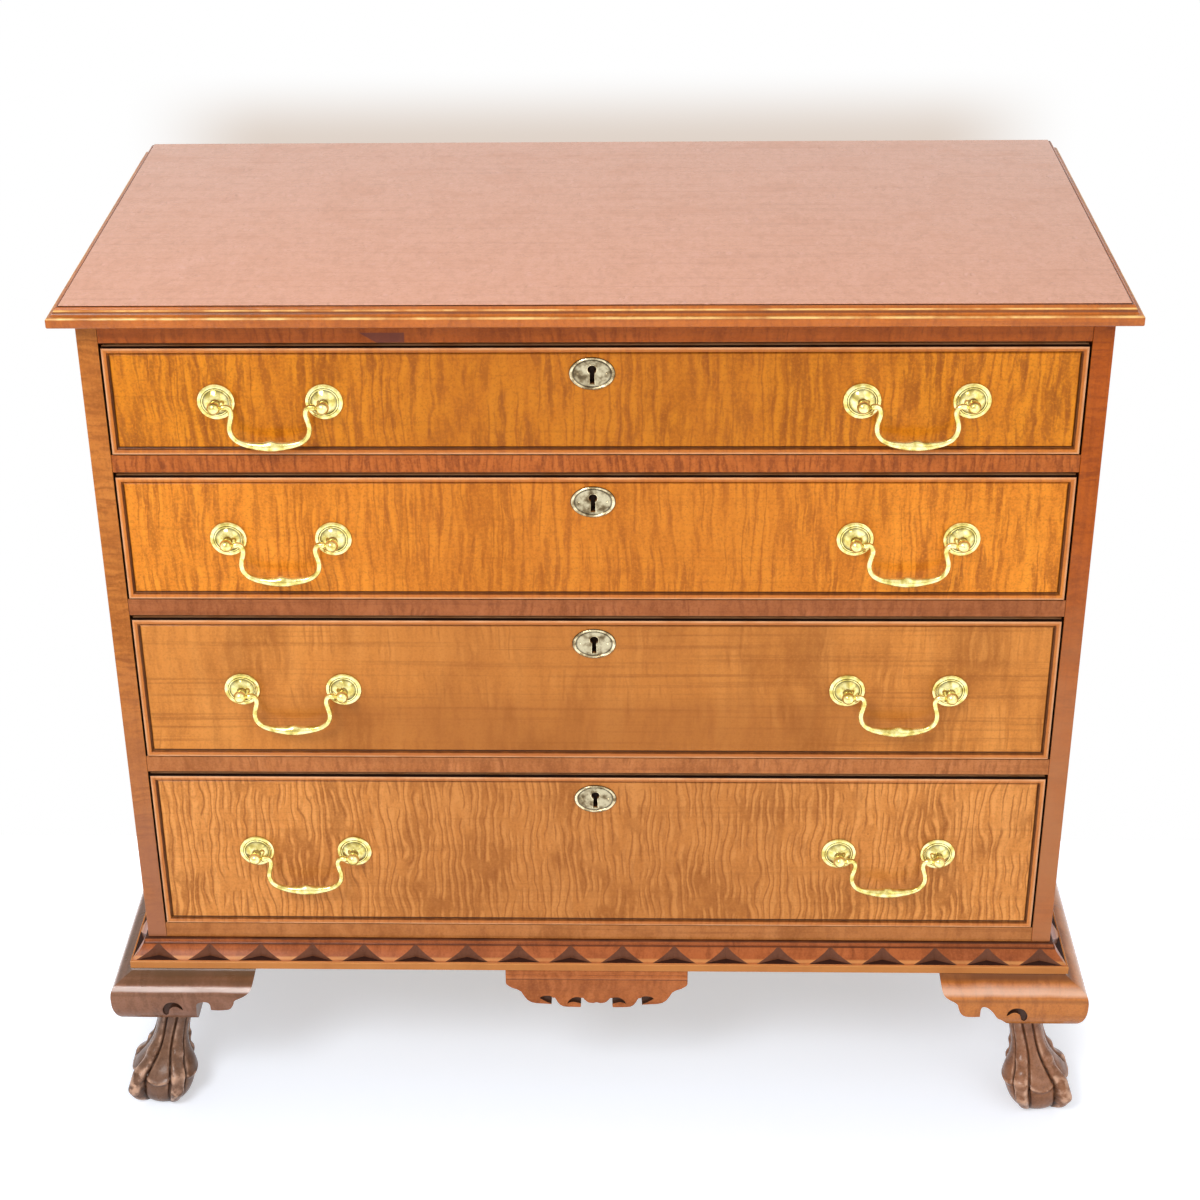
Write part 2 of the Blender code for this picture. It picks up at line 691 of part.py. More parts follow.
def build_drawer_front(number, bottom, top):
    """A drawer's front with its raised bead, rebated at the ends for the sides."""
    name = f"drawer_{number}_front"
    half_height = (top - bottom) / 2
    work = bmesh.new()
    depth = FRONT_THICKNESS + BEAD_PROUD
    size = Matrix.Diagonal((2 * FRONT_HALF, depth, 2 * half_height, 1.0))
    middle = Matrix.Translation((0, depth / 2 - BEAD_PROUD, 0))
    bmesh.ops.create_cube(work, size=1.0, matrix=middle @ size)
    work.normal_update()
    face = min(work.faces, key=lambda each: each.calc_center_median().y)
    bmesh.ops.inset_individual(work, faces=[face], thickness=BEAD_WIDTH)
    bmesh.ops.translate(work, verts=face.verts, vec=(0, BEAD_PROUD, 0))
    return add_piece(name, mesh_from(work, name), FRONT_MAPLE, (0, FRONT_Y, (bottom + top) / 2))


def build_drawer_box(number, floor, height):
    """A drawer's two sides and back, glued up as one."""
    name = f"drawer_{number}_box"
    outer = FRONT_HALF - GAP
    inner = outer - BOX_SIDE_THICKNESS
    front = FRONT_Y + FRONT_THICKNESS - BOX_LAP + GAP
    near_back = BOX_BACK_Y - BOX_BACK_THICKNESS
    outline = [
        (-outer, front), (-inner, front), (-inner, near_back), (inner, near_back),
        (inner, front), (outer, front), (outer, BOX_BACK_Y), (-outer, BOX_BACK_Y),
    ]
    mesh = outline_mesh(name, [outline], height)
    return add_piece(name, mesh, DRAWER_POPLAR, (0, 0, floor + height / 2))


def cut_laps(front, number, bottom, opening_top):
    """Rebates both ends of a drawer's front for the sides of its box."""
    inner = FRONT_HALF - GAP - BOX_SIDE_THICKNESS
    lap = FRONT_Y + FRONT_THICKNESS - BOX_LAP
    laps = []
    for side in (-1, 1):
        ends = sorted((side * (inner - GAP), side * (FRONT_HALF + OVERCUT)))
        low = (ends[0], lap, bottom - OVERCUT)
        high = (ends[1], FRONT_Y + FRONT_THICKNESS + OVERCUT, opening_top + OVERCUT)
        laps.append((low, high))
    cut(front, add_cutter(f"drawer_{number}_laps", box_mesh("laps", laps)))


def build_drawer_bottom(front, box, number, floor):
    """The bottom board of a drawer, let into grooves in its front and box."""
    half = FRONT_HALF - GAP - BOX_SIDE_THICKNESS + BOTTOM_GROOVE
    near = FRONT_Y + FRONT_THICKNESS - BOTTOM_GROOVE
    far = BOX_BACK_Y - BOX_BACK_THICKNESS + BOTTOM_GROOVE
    low = Vector((-half, near, floor + BOTTOM_RAISED))
    high = Vector((half, far, low.z + BOTTOM_THICKNESS))
    room = Vector((GAP, GAP, GAP))
    groove = add_cutter(f"drawer_{number}_groove", box_mesh("groove", [(low - room, high + room)]))
    cut(front, groove)
    cut(box, groove)
    return add_board(f"drawer_{number}_bottom", low, high, DRAWER_POPLAR)


def build_drawer(number, opening_top, opening):
    """One drawer on its slide: front, box, bottom board, escutcheon and two pulls."""
    bottom = opening_top - opening
    face_top = opening_top - FRONT_TOP_GAP
    front = build_drawer_front(number, bottom + FRONT_BOTTOM_GAP, face_top)
    cut_laps(front, number, bottom, opening_top)
    floor = bottom + GAP
    box = build_drawer_box(number, floor, opening - BOX_BELOW_OPENING_TOP)
    board = build_drawer_bottom(front, box, number, floor)
    pieces = [front, box, board, build_escutcheon(number, face_top - PLATE_BELOW_TOP)]
    for label, side in (("left", -1), ("right", 1)):
        middle = (side * PULL_FROM_MIDDLE, FRONT_Y, front.location.z)
        pieces += build_pull(f"drawer_{number}_{label}", middle)
    slide = drawer_empty(number, opening_top)
    for piece in pieces:
        hold(piece, slide)


# Fittings
def keyhole_outline():
    """A keyhole: a round eye over a slot that widens downwards."""
    half = KEYHOLE_SLOT / 2
    eye = arc((0, 0), KEYHOLE_RADIUS, -65, 245, 12)
    return eye + [(-half, -KEYHOLE_DROP), (half, -KEYHOLE_DROP)]


def build_escutcheon(number, height):
    """The oval plate round a keyhole, laid on the drawer's face."""
    name = f"escutcheon_{number}"
    oval = [(PLATE_HALF_WIDTH * x, PLATE_HALF_HEIGHT * y) for x, y in unit_ring(32)]
    eye = [(x, y + KEYHOLE_DROP / 3) for x, y in keyhole_outline()]
    mesh = outline_mesh(name, [oval, eye], PLATE_THICKNESS)
    mesh.transform(Matrix.Rotation(math.radians(90), 4, "X"))
    depth = FRONT_Y - GAP - PLATE_THICKNESS / 2
    return add_piece(name, mesh, AGED_PLATE, (0, depth, height))


def post_profile():
    """A pull's rosette and post as radius and distance from the drawer's face, face first."""
    neck = POST_NECK_RADIUS
    ball = POST_BALL_RADIUS
    rim = ROSETTE_RADIUS
    start = math.degrees(math.asin(neck / ball))
    points = [(0.0, GAP), (rim, GAP), (rim, ROSETTE_RIM), (rim * 0.80, ROSETTE_RIM + 0.0010)]
    points += [(rim * 0.55, ROSETTE_RIM + 0.0032), (neck, ROSETTE_RIM + 0.0046)]
    for step in range(6):
        angle = math.radians(start + (180 - start) * step / 5)
        points.append((ball * math.sin(angle), POST_REACH - ball * math.cos(angle)))
    points[-1] = (0.0, POST_REACH + ball)
    return points


def build_post(name, place, inward):
    """A rosette with its ball-ended post, turned in one and drilled on its inner side for the bail."""
    profile = list(reversed(post_profile()))
    edges = [(i, i + 1) for i in range(len(profile) - 1)]
    mesh = bpy.data.meshes.new(name)
    mesh.from_pydata([(radius, 0, out) for radius, out in profile], edges, [])
    post = add_piece(name, mesh, BRASS, place)
    post.rotation_euler = (math.radians(90), 0, 0)
    screw = post.modifiers.new("turned", "SCREW")
    screw.axis = "Z"
    screw.steps = 16
    screw.render_steps = 16
    screw.use_merge_vertices = True
    screw.merge_threshold = 0.00001
    screw.use_smooth_shade = True
    work = bmesh.new()
    along = Matrix.Rotation(math.radians(90), 4, "Y")
    length = 2 * POST_BALL_RADIUS
    middle = Matrix.Translation((inward * (POST_BALL_RADIUS - PIN_DEPTH + length / 2), 0, 0))
    size = {"radius1": PIN_HOLE, "radius2": PIN_HOLE, "depth": length}
    bmesh.ops.create_cone(work, cap_ends=True, segments=10, matrix=middle @ along, **size)
    hinge = Vector(place) + Vector((0, -POST_REACH, 0))
    cut(post, add_cutter(name + "_hole", mesh_from(work, name), hinge))
    return post


def bail_path():
    """Half of the bail's centre line from its pin to the middle, with the wire's radius at each point."""
    half = PULL_BORING / 2
    pin = half - (POST_BALL_RADIUS - PIN_DEPTH + GAP)
    return [
        (pin, 0.0, BAIL_PIN), (half - POST_BALL_RADIUS - 0.0006, 0.0, BAIL_PIN),
        (half - 0.0085, 0.0004, BAIL_WIRE * 0.95), (half - 0.0125, 0.0004, BAIL_WIRE),
        (half - 0.0155, -0.0022, BAIL_WIRE), (half - 0.0166, -0.0066, BAIL_WIRE),
        (half - 0.0156, -0.0120, BAIL_WIRE), (half - 0.0143, -0.0170, BAIL_WIRE),
        (half - 0.0142, -0.0222, BAIL_WIRE), (half - 0.0162, -0.0278, BAIL_WIRE),
        (half - 0.0210, -0.0332, BAIL_WIRE), (half - 0.0285, -0.0368, BAIL_WIRE * 1.1),
        (half - 0.0390, -BAIL_DROP + 0.0010, BAIL_GRIP * 0.75), (0.0025, -BAIL_DROP, BAIL_GRIP * 0.95),
        (0.0, -BAIL_DROP, BAIL_GRIP),
    ]


def build_bail(name, place):
    """The swan-neck bail, hung from the line through its two pins."""
    right = bail_path()
    left = [(-x, z, radius) for x, z, radius in reversed(right[:-1])]
    curve = bpy.data.curves.new(name, "CURVE")
    curve.dimensions = "3D"
    curve.bevel_depth = BAIL_WIRE
    curve.bevel_resolution = 1
    curve.use_fill_caps = True
    points = right + left
    spline = curve.splines.new("POLY")
    spline.points.add(len(points) - 1)
    for point, (x, z, radius) in zip(spline.points, points):
        point.co = (x, 0.0, z, 1.0)
        point.radius = radius / BAIL_WIRE
    bail = bpy.data.objects.new(name, curve)
    bail.location = place
    curve.materials.append(finish_material(name, BRASS))
    parts.objects.link(bail)
    return bail


def build_pull(label, middle):
    """A drawer pull: two posts on their rosettes and the bail between them."""
    half = PULL_BORING / 2
    x, y, z = middle
    return [
        build_bail(label + "_bail", (x, y - POST_REACH, z)),
        build_post(label + "_post_left", (x - half, y, z), 1),
        build_post(label + "_post_right", (x + half, y, z), -1),
    ]


def main():
    """Builds the whole chest."""
    build_top()
    build_sides()
    build_back()
    build_top_rail()
    build_frames()
    build_base_moulding()
    build_brackets()
    build_claws()
    build_pendant()
    for index, (top, opening) in enumerate(zip(opening_tops(), OPENING_HEIGHTS)):
        build_drawer(index + 1, top, opening)


for leftover in list(bpy.data.objects):
    bpy.data.objects.remove(leftover)
parts = new_collection("chest_of_drawers")
cutters = new_collection("cutters")
main()
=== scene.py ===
"""Looks of a chest of four drawers in curly maple, on claw feet, with swan-neck brass pulls.

Metres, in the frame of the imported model: +X to the right and +Y to the back as one faces
the drawers, +Z up, with the origin on the floor. A new piece has its object at the origin
and its place in its mesh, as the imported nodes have.
"""
import math

import bmesh
import bpy
import numpy as np
from mathutils import Matrix, Vector


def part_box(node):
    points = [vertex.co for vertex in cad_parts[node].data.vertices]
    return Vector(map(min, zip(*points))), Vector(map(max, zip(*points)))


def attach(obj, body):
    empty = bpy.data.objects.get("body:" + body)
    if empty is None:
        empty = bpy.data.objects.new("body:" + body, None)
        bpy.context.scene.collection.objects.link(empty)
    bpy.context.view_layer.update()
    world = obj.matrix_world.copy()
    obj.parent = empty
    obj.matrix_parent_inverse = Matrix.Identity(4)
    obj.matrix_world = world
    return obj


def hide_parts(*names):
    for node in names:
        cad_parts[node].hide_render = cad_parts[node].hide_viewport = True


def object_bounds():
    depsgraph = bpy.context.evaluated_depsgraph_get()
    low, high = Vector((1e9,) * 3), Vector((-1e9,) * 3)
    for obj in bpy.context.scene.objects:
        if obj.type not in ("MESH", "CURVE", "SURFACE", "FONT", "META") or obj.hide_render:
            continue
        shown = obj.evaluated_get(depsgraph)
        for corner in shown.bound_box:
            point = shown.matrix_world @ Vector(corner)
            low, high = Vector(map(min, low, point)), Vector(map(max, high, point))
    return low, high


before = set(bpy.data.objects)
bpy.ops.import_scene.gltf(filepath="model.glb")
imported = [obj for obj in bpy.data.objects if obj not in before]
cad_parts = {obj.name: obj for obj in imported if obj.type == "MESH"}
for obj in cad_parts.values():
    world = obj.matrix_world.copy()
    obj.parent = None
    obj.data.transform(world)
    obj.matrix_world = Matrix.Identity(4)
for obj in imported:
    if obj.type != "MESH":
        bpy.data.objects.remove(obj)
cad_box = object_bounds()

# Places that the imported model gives
TOP_LOW, TOP_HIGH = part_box("top_board")
SIDE_LOW, SIDE_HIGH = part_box("case_side_right")
MOULDING_LOW, MOULDING_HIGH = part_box("base_moulding_front")
BRACKET_LOW, BRACKET_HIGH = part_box("bracket_base_right")
CASE_HALF = SIDE_HIGH.x
FRONT_Y = SIDE_LOW.y
BACK_Y = SIDE_HIGH.y
CASE_DEPTH = BACK_Y - FRONT_Y
MOULDING_REACH = FRONT_Y - MOULDING_LOW.y
MOULDING_HEIGHT = MOULDING_HIGH.z - MOULDING_LOW.z
BRACKET_REACH = BRACKET_HIGH.x - CASE_HALF
BRACKET_HEIGHT = BRACKET_HIGH.z - BRACKET_LOW.z
DRAWERS = (1, 2, 3, 4)

SIDES = {"left": -1, "right": 1}
FRONT_SIDE_GAP = 0.0022
SEAM_WIDTH = 0.0016

# A length past everything, how near points are one, and the angle in degrees past which an edge is sharp
FAR = 10.0
WELD = 0.00001
SHARP_ANGLE = 32

# Let-in repair at the lower edge of the rail under the top
REPAIR_LEFT = -0.2140
REPAIR_RIGHT = -0.1725
REPAIR_HEIGHT = 0.0100
REPAIR_SLANT = 1.6

# Top board's edge, from its underside up
LIP_HEIGHT = 0.0104
LIP_ROUND = 0.0022
COVE_RADIUS = 0.0040
EDGE_FILLET = 0.0009
OVOLO_RADIUS = 0.0026
QUIRK_WIDTH = 0.0011

# Bead round a drawer's front, and the laps behind it
LAP_WIDTH = 0.0113
BEAD_WIDTH = 0.0052
BEAD_PROUD = 0.0025
BEAD_QUIRK = 0.0024
QUIRK_DEPTH = 0.0016

# Base moulding
FILLET_HEIGHT = 0.0088
TOP_BAND = 0.0058
TOP_REACH = 0.0036
CHIP_PITCH = 0.0548
CHIP_WIDTH = 0.0536
CHIP_DEPTH = 0.0098
CHIP_FLOOR = 0.0009
CHIP_FIRST = 0.0297

# Brackets and pendant
BRACKET_TOP_REACH = 0.016
BRACKET_BACK = 0.004
BRACKET_LEG = 0.1155
REAR_FOOT_SETBACK = 0.040
GOUGE_DEPTH = 0.0042

# Claw feet
CLAW_HEIGHT = 0.117
BALL_RADIUS = 0.0372
BALL_MIDDLE = 0.036
SOLE_INSET = 0.0005
FOOT_LEAN = 0.0315
HEEL_FLATNESS = 0.28
BLOCK_HALF = 0.013
SIDE_TALON_TURN = 70.0
FOOT_AROUND = 240
FOOT_UPWARDS = 160

# Pulls and escutcheons
PULL_BORING = 0.1016
PULL_FROM_MIDDLE = 0.301
ROSETTE_RADIUS = 0.01775
POST_REACH = 0.0160
POST_BALL = 0.0063
BAIL_DROP = 0.0392
BAIL_WIRE = 0.0026
WIRE_AROUND = 20
PLATE_HALF_WIDTH = 0.0215
PLATE_HALF_HEIGHT = 0.0162
PLATE_AROUND = 96
ROPE_DEPTH = 0.00022
EYE_RISE = 0.0042
PIN_FROM_MIDDLE = 0.0134

# Stage: its light, its floor, and the wall's size, its distance behind the chest and its shade. A
# lamp has its place, the point it is turned to, its size, its power and whether polished wood mirrors it
WHITE = (1.0, 1.0, 1.0, 1.0)
WORLD_LIGHT = 0.52
LAMPS = {
    "key_lamp": ((-1.3, -2.3, 2.8), (0, 0, 0.5), 1.1, 54.0, True),
    "front_lamp": ((-0.3, -3.4, 1.5), (0, 0, 0.3), 1.6, 14.0, False),
    "fill_lamp": ((2.1, -2.2, 2.0), (0, 0, 0.4), 2.6, 22.0, True),
}
FLOOR_SIZE = 12.0
FLOOR_COLOR = (0.72, 0.78, 0.88, 1.0)
FLOOR_GLOW = 0.40
WALL_SIZE = 6.0
WALL_GAP = 0.03
WALL_SHADE = 0.75

# Camera of the photograph: its place, its turns in radians and its lens
CAMERA_PLACE = (0.0388, -2.1930, 1.6898)
CAMERA_YAW = 0.036157
CAMERA_PITCH = -0.497266
CAMERA_ROLL = 0.015808
CAMERA_LENS = 69.5
CAMERA_SHIFT = 0.0333


def tint(red, green, blue):
    """A colour given as it shows on a screen, from 0 to 255, as Blender's linear values."""
    linear = []
    for value in (red, green, blue):
        part = value / 255
        linear.append(part / 12.92 if part <= 0.04045 else ((part + 0.055) / 1.055) ** 2.4)
    return (*linear, 1.0)


def shades(red, green, blue):
    """A wood's pale streak, its ground colour and its dark curl, from the ground as a screen shows it."""
    pale = tint(min(255, red * 1.09), min(255, green * 1.15), min(255, blue * 1.30))
    return pale, tint(red, green, blue), tint(red * 0.70, green * 0.62, blue * 0.50)


# Ground colours of the woods, and the metals' bright, ground and dark colours
WALL_SHADE_COLOR = tint(212, 194, 178)
# The top's ground is the wood's colour made paler and pinker, partly as painted sheen of its polish
TOP_TINTS_WITH_SHEEN = shades(226, 162, 130)
TOP_EDGE_TINTS = shades(192, 102, 26)
# A painted highlight along the top edge's arris and fillet
GOLDEN_EDGE_HIGHLIGHT = tint(252, 208, 128)
STILE_TINTS = {"left": shades(192, 112, 42), "right": shades(174, 82, 14)}
STILE_FOOT = {"left": tint(162, 104, 76), "right": tint(182, 118, 74)}
STILE_FADE = {"left": 0.42, "right": 0.56}
RAIL_TINTS = {
    "top_rail": shades(180, 88, 24), "drawer_frame_1": shades(178, 92, 32),
    "drawer_frame_2": shades(166, 94, 48), "drawer_frame_3": shades(186, 112, 58),
    "bottom_frame": shades(188, 116, 58), "moulding_backing": shades(170, 96, 52),
}
MOULDING_TINTS = shades(168, 88, 40)
FILLET_TINTS = shades(204, 134, 68)
FACET_TINTS = shades(108, 62, 38)
# The chips' flat floors, painted dark with shade and dirt
CHIP_FLOOR_SHADE_AND_DIRT = shades(54, 28, 20)
BRACKET_TINTS = {"left": shades(144, 96, 68), "right": shades(196, 116, 48)}
BRACKET_SHADE = {"left": tint(92, 62, 34), "right": tint(112, 62, 26)}
# A painted highlight along each bracket's shoulder
SHOULDER_HIGHLIGHT = {"left": tint(222, 200, 190), "right": tint(250, 216, 194)}
# Level bands down from each bracket's top: painted shade under the moulding and beside the shoulder, and a
# painted highlight along the shoulder
BRACKET_BANDS = {
    "left": (
        (0.0070, -0.0100, 0.0025, 0.92, BRACKET_SHADE), (0.0102, 0.0072, 0.0010, 0.70, BRACKET_SHADE),
        (0.0160, 0.0118, 0.0014, 0.96, SHOULDER_HIGHLIGHT), (0.0215, 0.0180, 0.0016, 0.40, BRACKET_SHADE),
    ),
    "right": (
        (0.0056, -0.0100, 0.0022, 0.92, BRACKET_SHADE), (0.0146, 0.0080, 0.0026, 0.52, SHOULDER_HIGHLIGHT),
        (0.0225, 0.0185, 0.0020, 0.45, BRACKET_SHADE),
    ),
}
# The gouges' floors, painted dark with shade and the old finish's dark stain
GOUGE_SHADE_AND_STAIN_TINTS = shades(74, 46, 32)
CLAW_TINTS = {"left": shades(118, 82, 58), "right": shades(148, 98, 66)}
PENDANT_TINTS = shades(184, 104, 52)
DRAWER_TINTS = {
    1: shades(210, 122, 20), 2: shades(228, 134, 34), 3: shades(214, 134, 56), 4: shades(216, 137, 63),
}
POPLAR_TINTS = shades(196, 162, 114)
# The keyhole's cut walls, painted near black as the shade inside the hole
KEYHOLE_SHADE_TINTS = shades(60, 38, 22)
DRAWER_SHADE = {1: 0.0, 2: 0.0, 3: 0.40, 4: 0.08}
BEAD_COLOR = tint(196, 112, 56)
# A painted highlight along the bead's outer arris
ARRIS_HIGHLIGHT = tint(250, 192, 142)
# Painted shade with some dirt, for the dark lines sunk in quirks and grooves
SUNK_SHADE_AND_DIRT = tint(66, 30, 12)
# Painted shade, near black, with some dirt, in the gaps between the drawers and the case
SEAM_SHADE_AND_DIRT = tint(30, 16, 10)
BRASS_TINTS = (tint(250, 240, 170), tint(228, 206, 108), tint(84, 68, 26))
PLATE_TINTS = (tint(236, 222, 182), tint(158, 136, 96), tint(40, 28, 16))
REPAIR_COLOR = tint(104, 54, 44)

# Each figure is the curl's pitch, run, sway, strength and cover, the streaks, the clouds and the flame
TOP_FIGURE = (0.0090, 0.010, 0.004, 0.42, 0.35, 0.35, 0.12, 0.12)
STRIPED_RAIL = (0.0085, 0.024, 0.003, 0.85, 0.85, 0.45, 0.60, 0.55)
QUIET_RAIL = (0.0100, 0.020, 0.004, 0.40, 0.35, 0.90, 0.70, 0.22)
SOFT_RAIL = (0.0100, 0.024, 0.004, 0.60, 0.60, 0.55, 0.60, 0.35)
RAIL_FIGURES = {
    "top_rail": SOFT_RAIL, "drawer_frame_1": STRIPED_RAIL, "drawer_frame_2": SOFT_RAIL,
    "drawer_frame_3": SOFT_RAIL, "bottom_frame": QUIET_RAIL, "moulding_backing": QUIET_RAIL,
}
PLAIN_FIGURE = (0.012, 0.02, 0.004, 0.35, 0.4, 0.7, 0.6, 0.20)
BASE_FIGURE = (0.014, 0.026, 0.006, 0.55, 0.45, 0.80, 0.80, 0.35)
POPLAR_FIGURE = (0.030, 0.2, 0.01, 0.12, 0.4, 0.90, 0.40, 0.10)
DRAWER_FIGURES = {
    1: ((0.0110, 0.040, 0.003, 0.80, 0.85, 0.40, 0.80, 0.58), 3.0),
    2: ((0.0100, 0.050, 0.003, 0.75, 0.80, 0.40, 0.60, 0.52), 14.0),
    3: ((0.0105, 0.040, 0.003, 0.45, 0.50, 0.90, 0.95, 0.18), 27.0),
    4: ((0.0082, 0.022, 0.003, 1.00, 0.95, 0.40, 1.00, 0.26), 36.0),
}


class Wiring:
    """Adds nodes to one tree. An input is a plain value or another node's output."""

    def __init__(self, tree):
        self.tree = tree

    def feed(self, socket, value):
        if isinstance(value, bpy.types.NodeSocket):
            self.tree.links.new(value, socket)
        else:
            socket.default_value = value

    def node(self, kind, inputs, **settings):
        made = self.tree.nodes.new("ShaderNode" + kind)
        for name, value in settings.items():
            setattr(made, name, value)
        for key, value in inputs.items():
            self.feed(made.inputs[key], value)
        return made

    def math(self, operation, first, second=0.0):
        return self.node("Math", {0: first, 1: second}, operation=operation).outputs[0]

    def chain(self, operation, first, *others):
        """One operation on all the values in turn."""
        for other in others:
            first = self.math(operation, first, other)
        return first

    def times(self, *values):
        return self.chain("MULTIPLY", *values)

    def plus(self, *values):
        return self.chain("ADD", *values)

    def minus(self, *values):
        return self.chain("SUBTRACT", *values)

    def least(self, *values):
        return self.chain("MINIMUM", *values)

    def most(self, *values):
        return self.chain("MAXIMUM", *values)

    def near(self, value, middle, far, close):
        """1 where a value is close to a middle, falling to 0 as far away as is said."""
        return self.ramp(self.math("ABSOLUTE", self.minus(value, middle)), far, close)

    def vector(self, operation, first, second):
        return self.node("VectorMath", {0: first, 1: second}, operation=operation).outputs[0]

    def parts(self, vector):
        """A vector's X, Y and Z."""
        return self.node("SeparateXYZ", {0: vector}).outputs

    def insets(self, given):
        """How far a place lies inside a box: from its low faces, its high faces and the nearer ones."""
        above = self.vector("SUBTRACT", given["Place"], given["Low"])
        below = self.vector("SUBTRACT", given["High"], given["Place"])
        return self.parts(above), self.parts(below), self.parts(self.vector("MINIMUM", above, below))

    def noise(self, place, scale, detail=2.0, seed=0.0, roughness=0.5):
        inputs = {"Vector": place, "Scale": scale, "Detail": detail, "W": seed, "Roughness": roughness}
        return self.node("TexNoise", inputs, noise_dimensions="4D").outputs["Fac"]

    def ramp(self, value, low, high, start=0.0, end=1.0):
        inputs = {"Value": value, "From Min": low, "From Max": high, "To Min": start, "To Max": end}
        return self.node("MapRange", inputs, interpolation_type="SMOOTHSTEP").outputs["Result"]

    def stretch(self, place, along, across):
        """A place with its X scaled by one number, and its Y and Z by another."""
        return self.vector("MULTIPLY", place, (along, across, across))

    def blend(self, share, first, second):
        return self.node("Mix", {0: share, 6: first, 7: second}, data_type="RGBA").outputs[2]

    def layers(self, color, *layers):
        """A colour under others in turn, each with its mask, how strong it is and its colour."""
        for mask, amount, layer in layers:
            color = self.blend(self.times(mask, amount), color, layer)
        return color


FLOAT = "NodeSocketFloat"
VECTOR = "NodeSocketVector"
COLOR = "NodeSocketColor"
IN_BOX = {"Place": VECTOR, "Low": VECTOR, "High": VECTOR}


def new_group(wire, outputs, **inputs):
    """A shader group with named sockets, called as the function that wires it.

    An input is given as its kind, or as the number or the colour that it starts with. The wiring
    function returns the outputs' values in their order.
    """
    group = bpy.data.node_groups.new(wire.__name__, "ShaderNodeTree")
    for label, value in inputs.items():
        kind = value if isinstance(value, str) else COLOR if isinstance(value, tuple) else FLOAT
        socket = group.interface.new_socket(label, in_out="INPUT", socket_type=kind)
        if value is not kind:
            socket.default_value = value
    for label in outputs:
        kind = COLOR if label == "Color" else FLOAT
        group.interface.new_socket(label, in_out="OUTPUT", socket_type=kind)
    w = Wiring(group)
    results = wire(w, group.nodes.new("NodeGroupInput").outputs)
    end = group.nodes.new("NodeGroupOutput")
    for label, value in zip(outputs, results):
        w.feed(end.inputs[label], value)
    return group


def curly_wood(w, given):
    """Figured wood with its grain along X of Place: dark curls that stop short, clouds and grain lines."""
    place = given["Place"]
    seed = given["Seed"]
    pale = given["Pale"]
    dark = given["Dark"]

    def fibre(vector, along, across, shift, detail=2.0, roughness=0.5):
        """Noise of its own seed, stretched along the grain."""
        own_seed = w.plus(seed, shift) if shift else seed
        return w.noise(w.stretch(vector, along, across), 1.0, detail, own_seed, roughness)

    wide_sway = w.minus(w.noise(place, 12.0, 2.0, seed), 0.5)
    fine_sway = w.minus(w.noise(place, 75.0, 2.0, seed), 0.5)
    sway = w.plus(w.times(wide_sway, 5.0), w.times(fine_sway, 0.9))
    x, y, z = w.parts(place)
    along = w.math("DIVIDE", w.plus(x, w.times(sway, given["Sway"])), given["Pitch"])
    across = w.math("DIVIDE", y, given["Run"])
    deep = w.math("DIVIDE", z, given["Run"])
    rippled = w.node("CombineXYZ", {0: along, 1: across, 2: deep}).outputs[0]
    turns = w.times(w.plus(along, w.times(fibre(rippled, 0.30, 0.30, 0), 3.2)), 2 * math.pi)
    wave = w.math("SINE", turns)
    side = w.math("SINE", w.plus(turns, 2.2))
    present = fibre(rippled, 0.40, 0.85, 7)
    onset = w.minus(0.70, w.times(given["Cover"], 0.35))
    shown = w.times(w.ramp(present, onset, w.plus(onset, 0.14)), given["Curl"])
    flame = fibre(rippled, 1.5, 0.9, 5, 3.0, 0.55)
    strength = w.times(given["Flame"], w.plus(w.times(present, 1.2), 0.4))
    zone = w.ramp(fibre(rippled, 0.16, 0.28, 3, 3.0), 0.44, 0.66)
    glow = w.ramp(fibre(rippled, 0.30, 0.20, 9), 0.50, 0.70)
    mottle = fibre(place, 420.0, 420.0, 0, 2.0, 0.6)
    streak = fibre(place, 3.2, 210.0, 11, 3.0, 0.6)
    specks = w.ramp(w.noise(place, 260.0, 1.0, w.plus(seed, 2.0)), 0.77, 0.81)
    grainy = w.plus(w.times(given["Flame"], 0.50), 0.08)
    color = w.layers(
        given["Ground"],
        (glow, w.times(given["Clouds"], 0.6), pale),
        (zone, w.times(given["Clouds"], 0.6), dark),
        (w.times(w.ramp(wave, 0.05, 0.90), shown), 0.85, pale),
        (w.times(w.ramp(flame, 0.49, 0.38), strength), 0.90, pale),
        (w.times(w.ramp(flame, 0.50, 0.62), strength), 1.05, dark),
        (w.times(w.ramp(side, 0.76, 0.99), shown), 0.70, dark),
        (w.times(w.ramp(streak, 0.48, 0.72), given["Streaks"]), 0.55, dark),
        (w.ramp(mottle, 0.50, 0.68), grainy, dark),
        (w.ramp(mottle, 0.50, 0.34), grainy, pale),
        (specks, 0.6, dark),
    )
    height = w.minus(w.plus(w.times(wave, 0.2), w.times(streak, 0.5)), w.times(specks, 0.6))
    dullness = w.plus(w.times(streak, 0.5), w.times(zone, 0.4))
    return color, height, dullness


def edge_wear(w, given):
    """A mask that is 1 along the edges of a box of wood, rubbed away in places."""
    nearest = w.insets(given)[2]
    second = w.minus(w.plus(*nearest), w.least(*nearest), w.most(*nearest))
    broken = w.ramp(w.noise(given["Place"], 45.0, 3.0), 0.35, 0.65)
    return [w.times(w.ramp(second, given["Width"], 0.0), broken)]


def seam_shade_and_dirt(w, given):
    """A mask of painted shade with some dirt in a gap: 0 at a width inside a box of wood, 1 at its faces,
    behind a front plane.
    """
    uneven = w.ramp(w.noise(given["Place"], 60.0, 3.0), 0.25, 0.65, 0.7, 1.0)
    depth = w.minus(w.parts(given["Place"])[1], given["Front"])
    behind = w.times(w.ramp(depth, 0.0004, 0.0020), w.ramp(depth, 0.0140, 0.0060))
    near = w.ramp(w.least(*w.insets(given)[2]), given["Width"], 0.0)
    return [w.times(near, uneven, behind)]


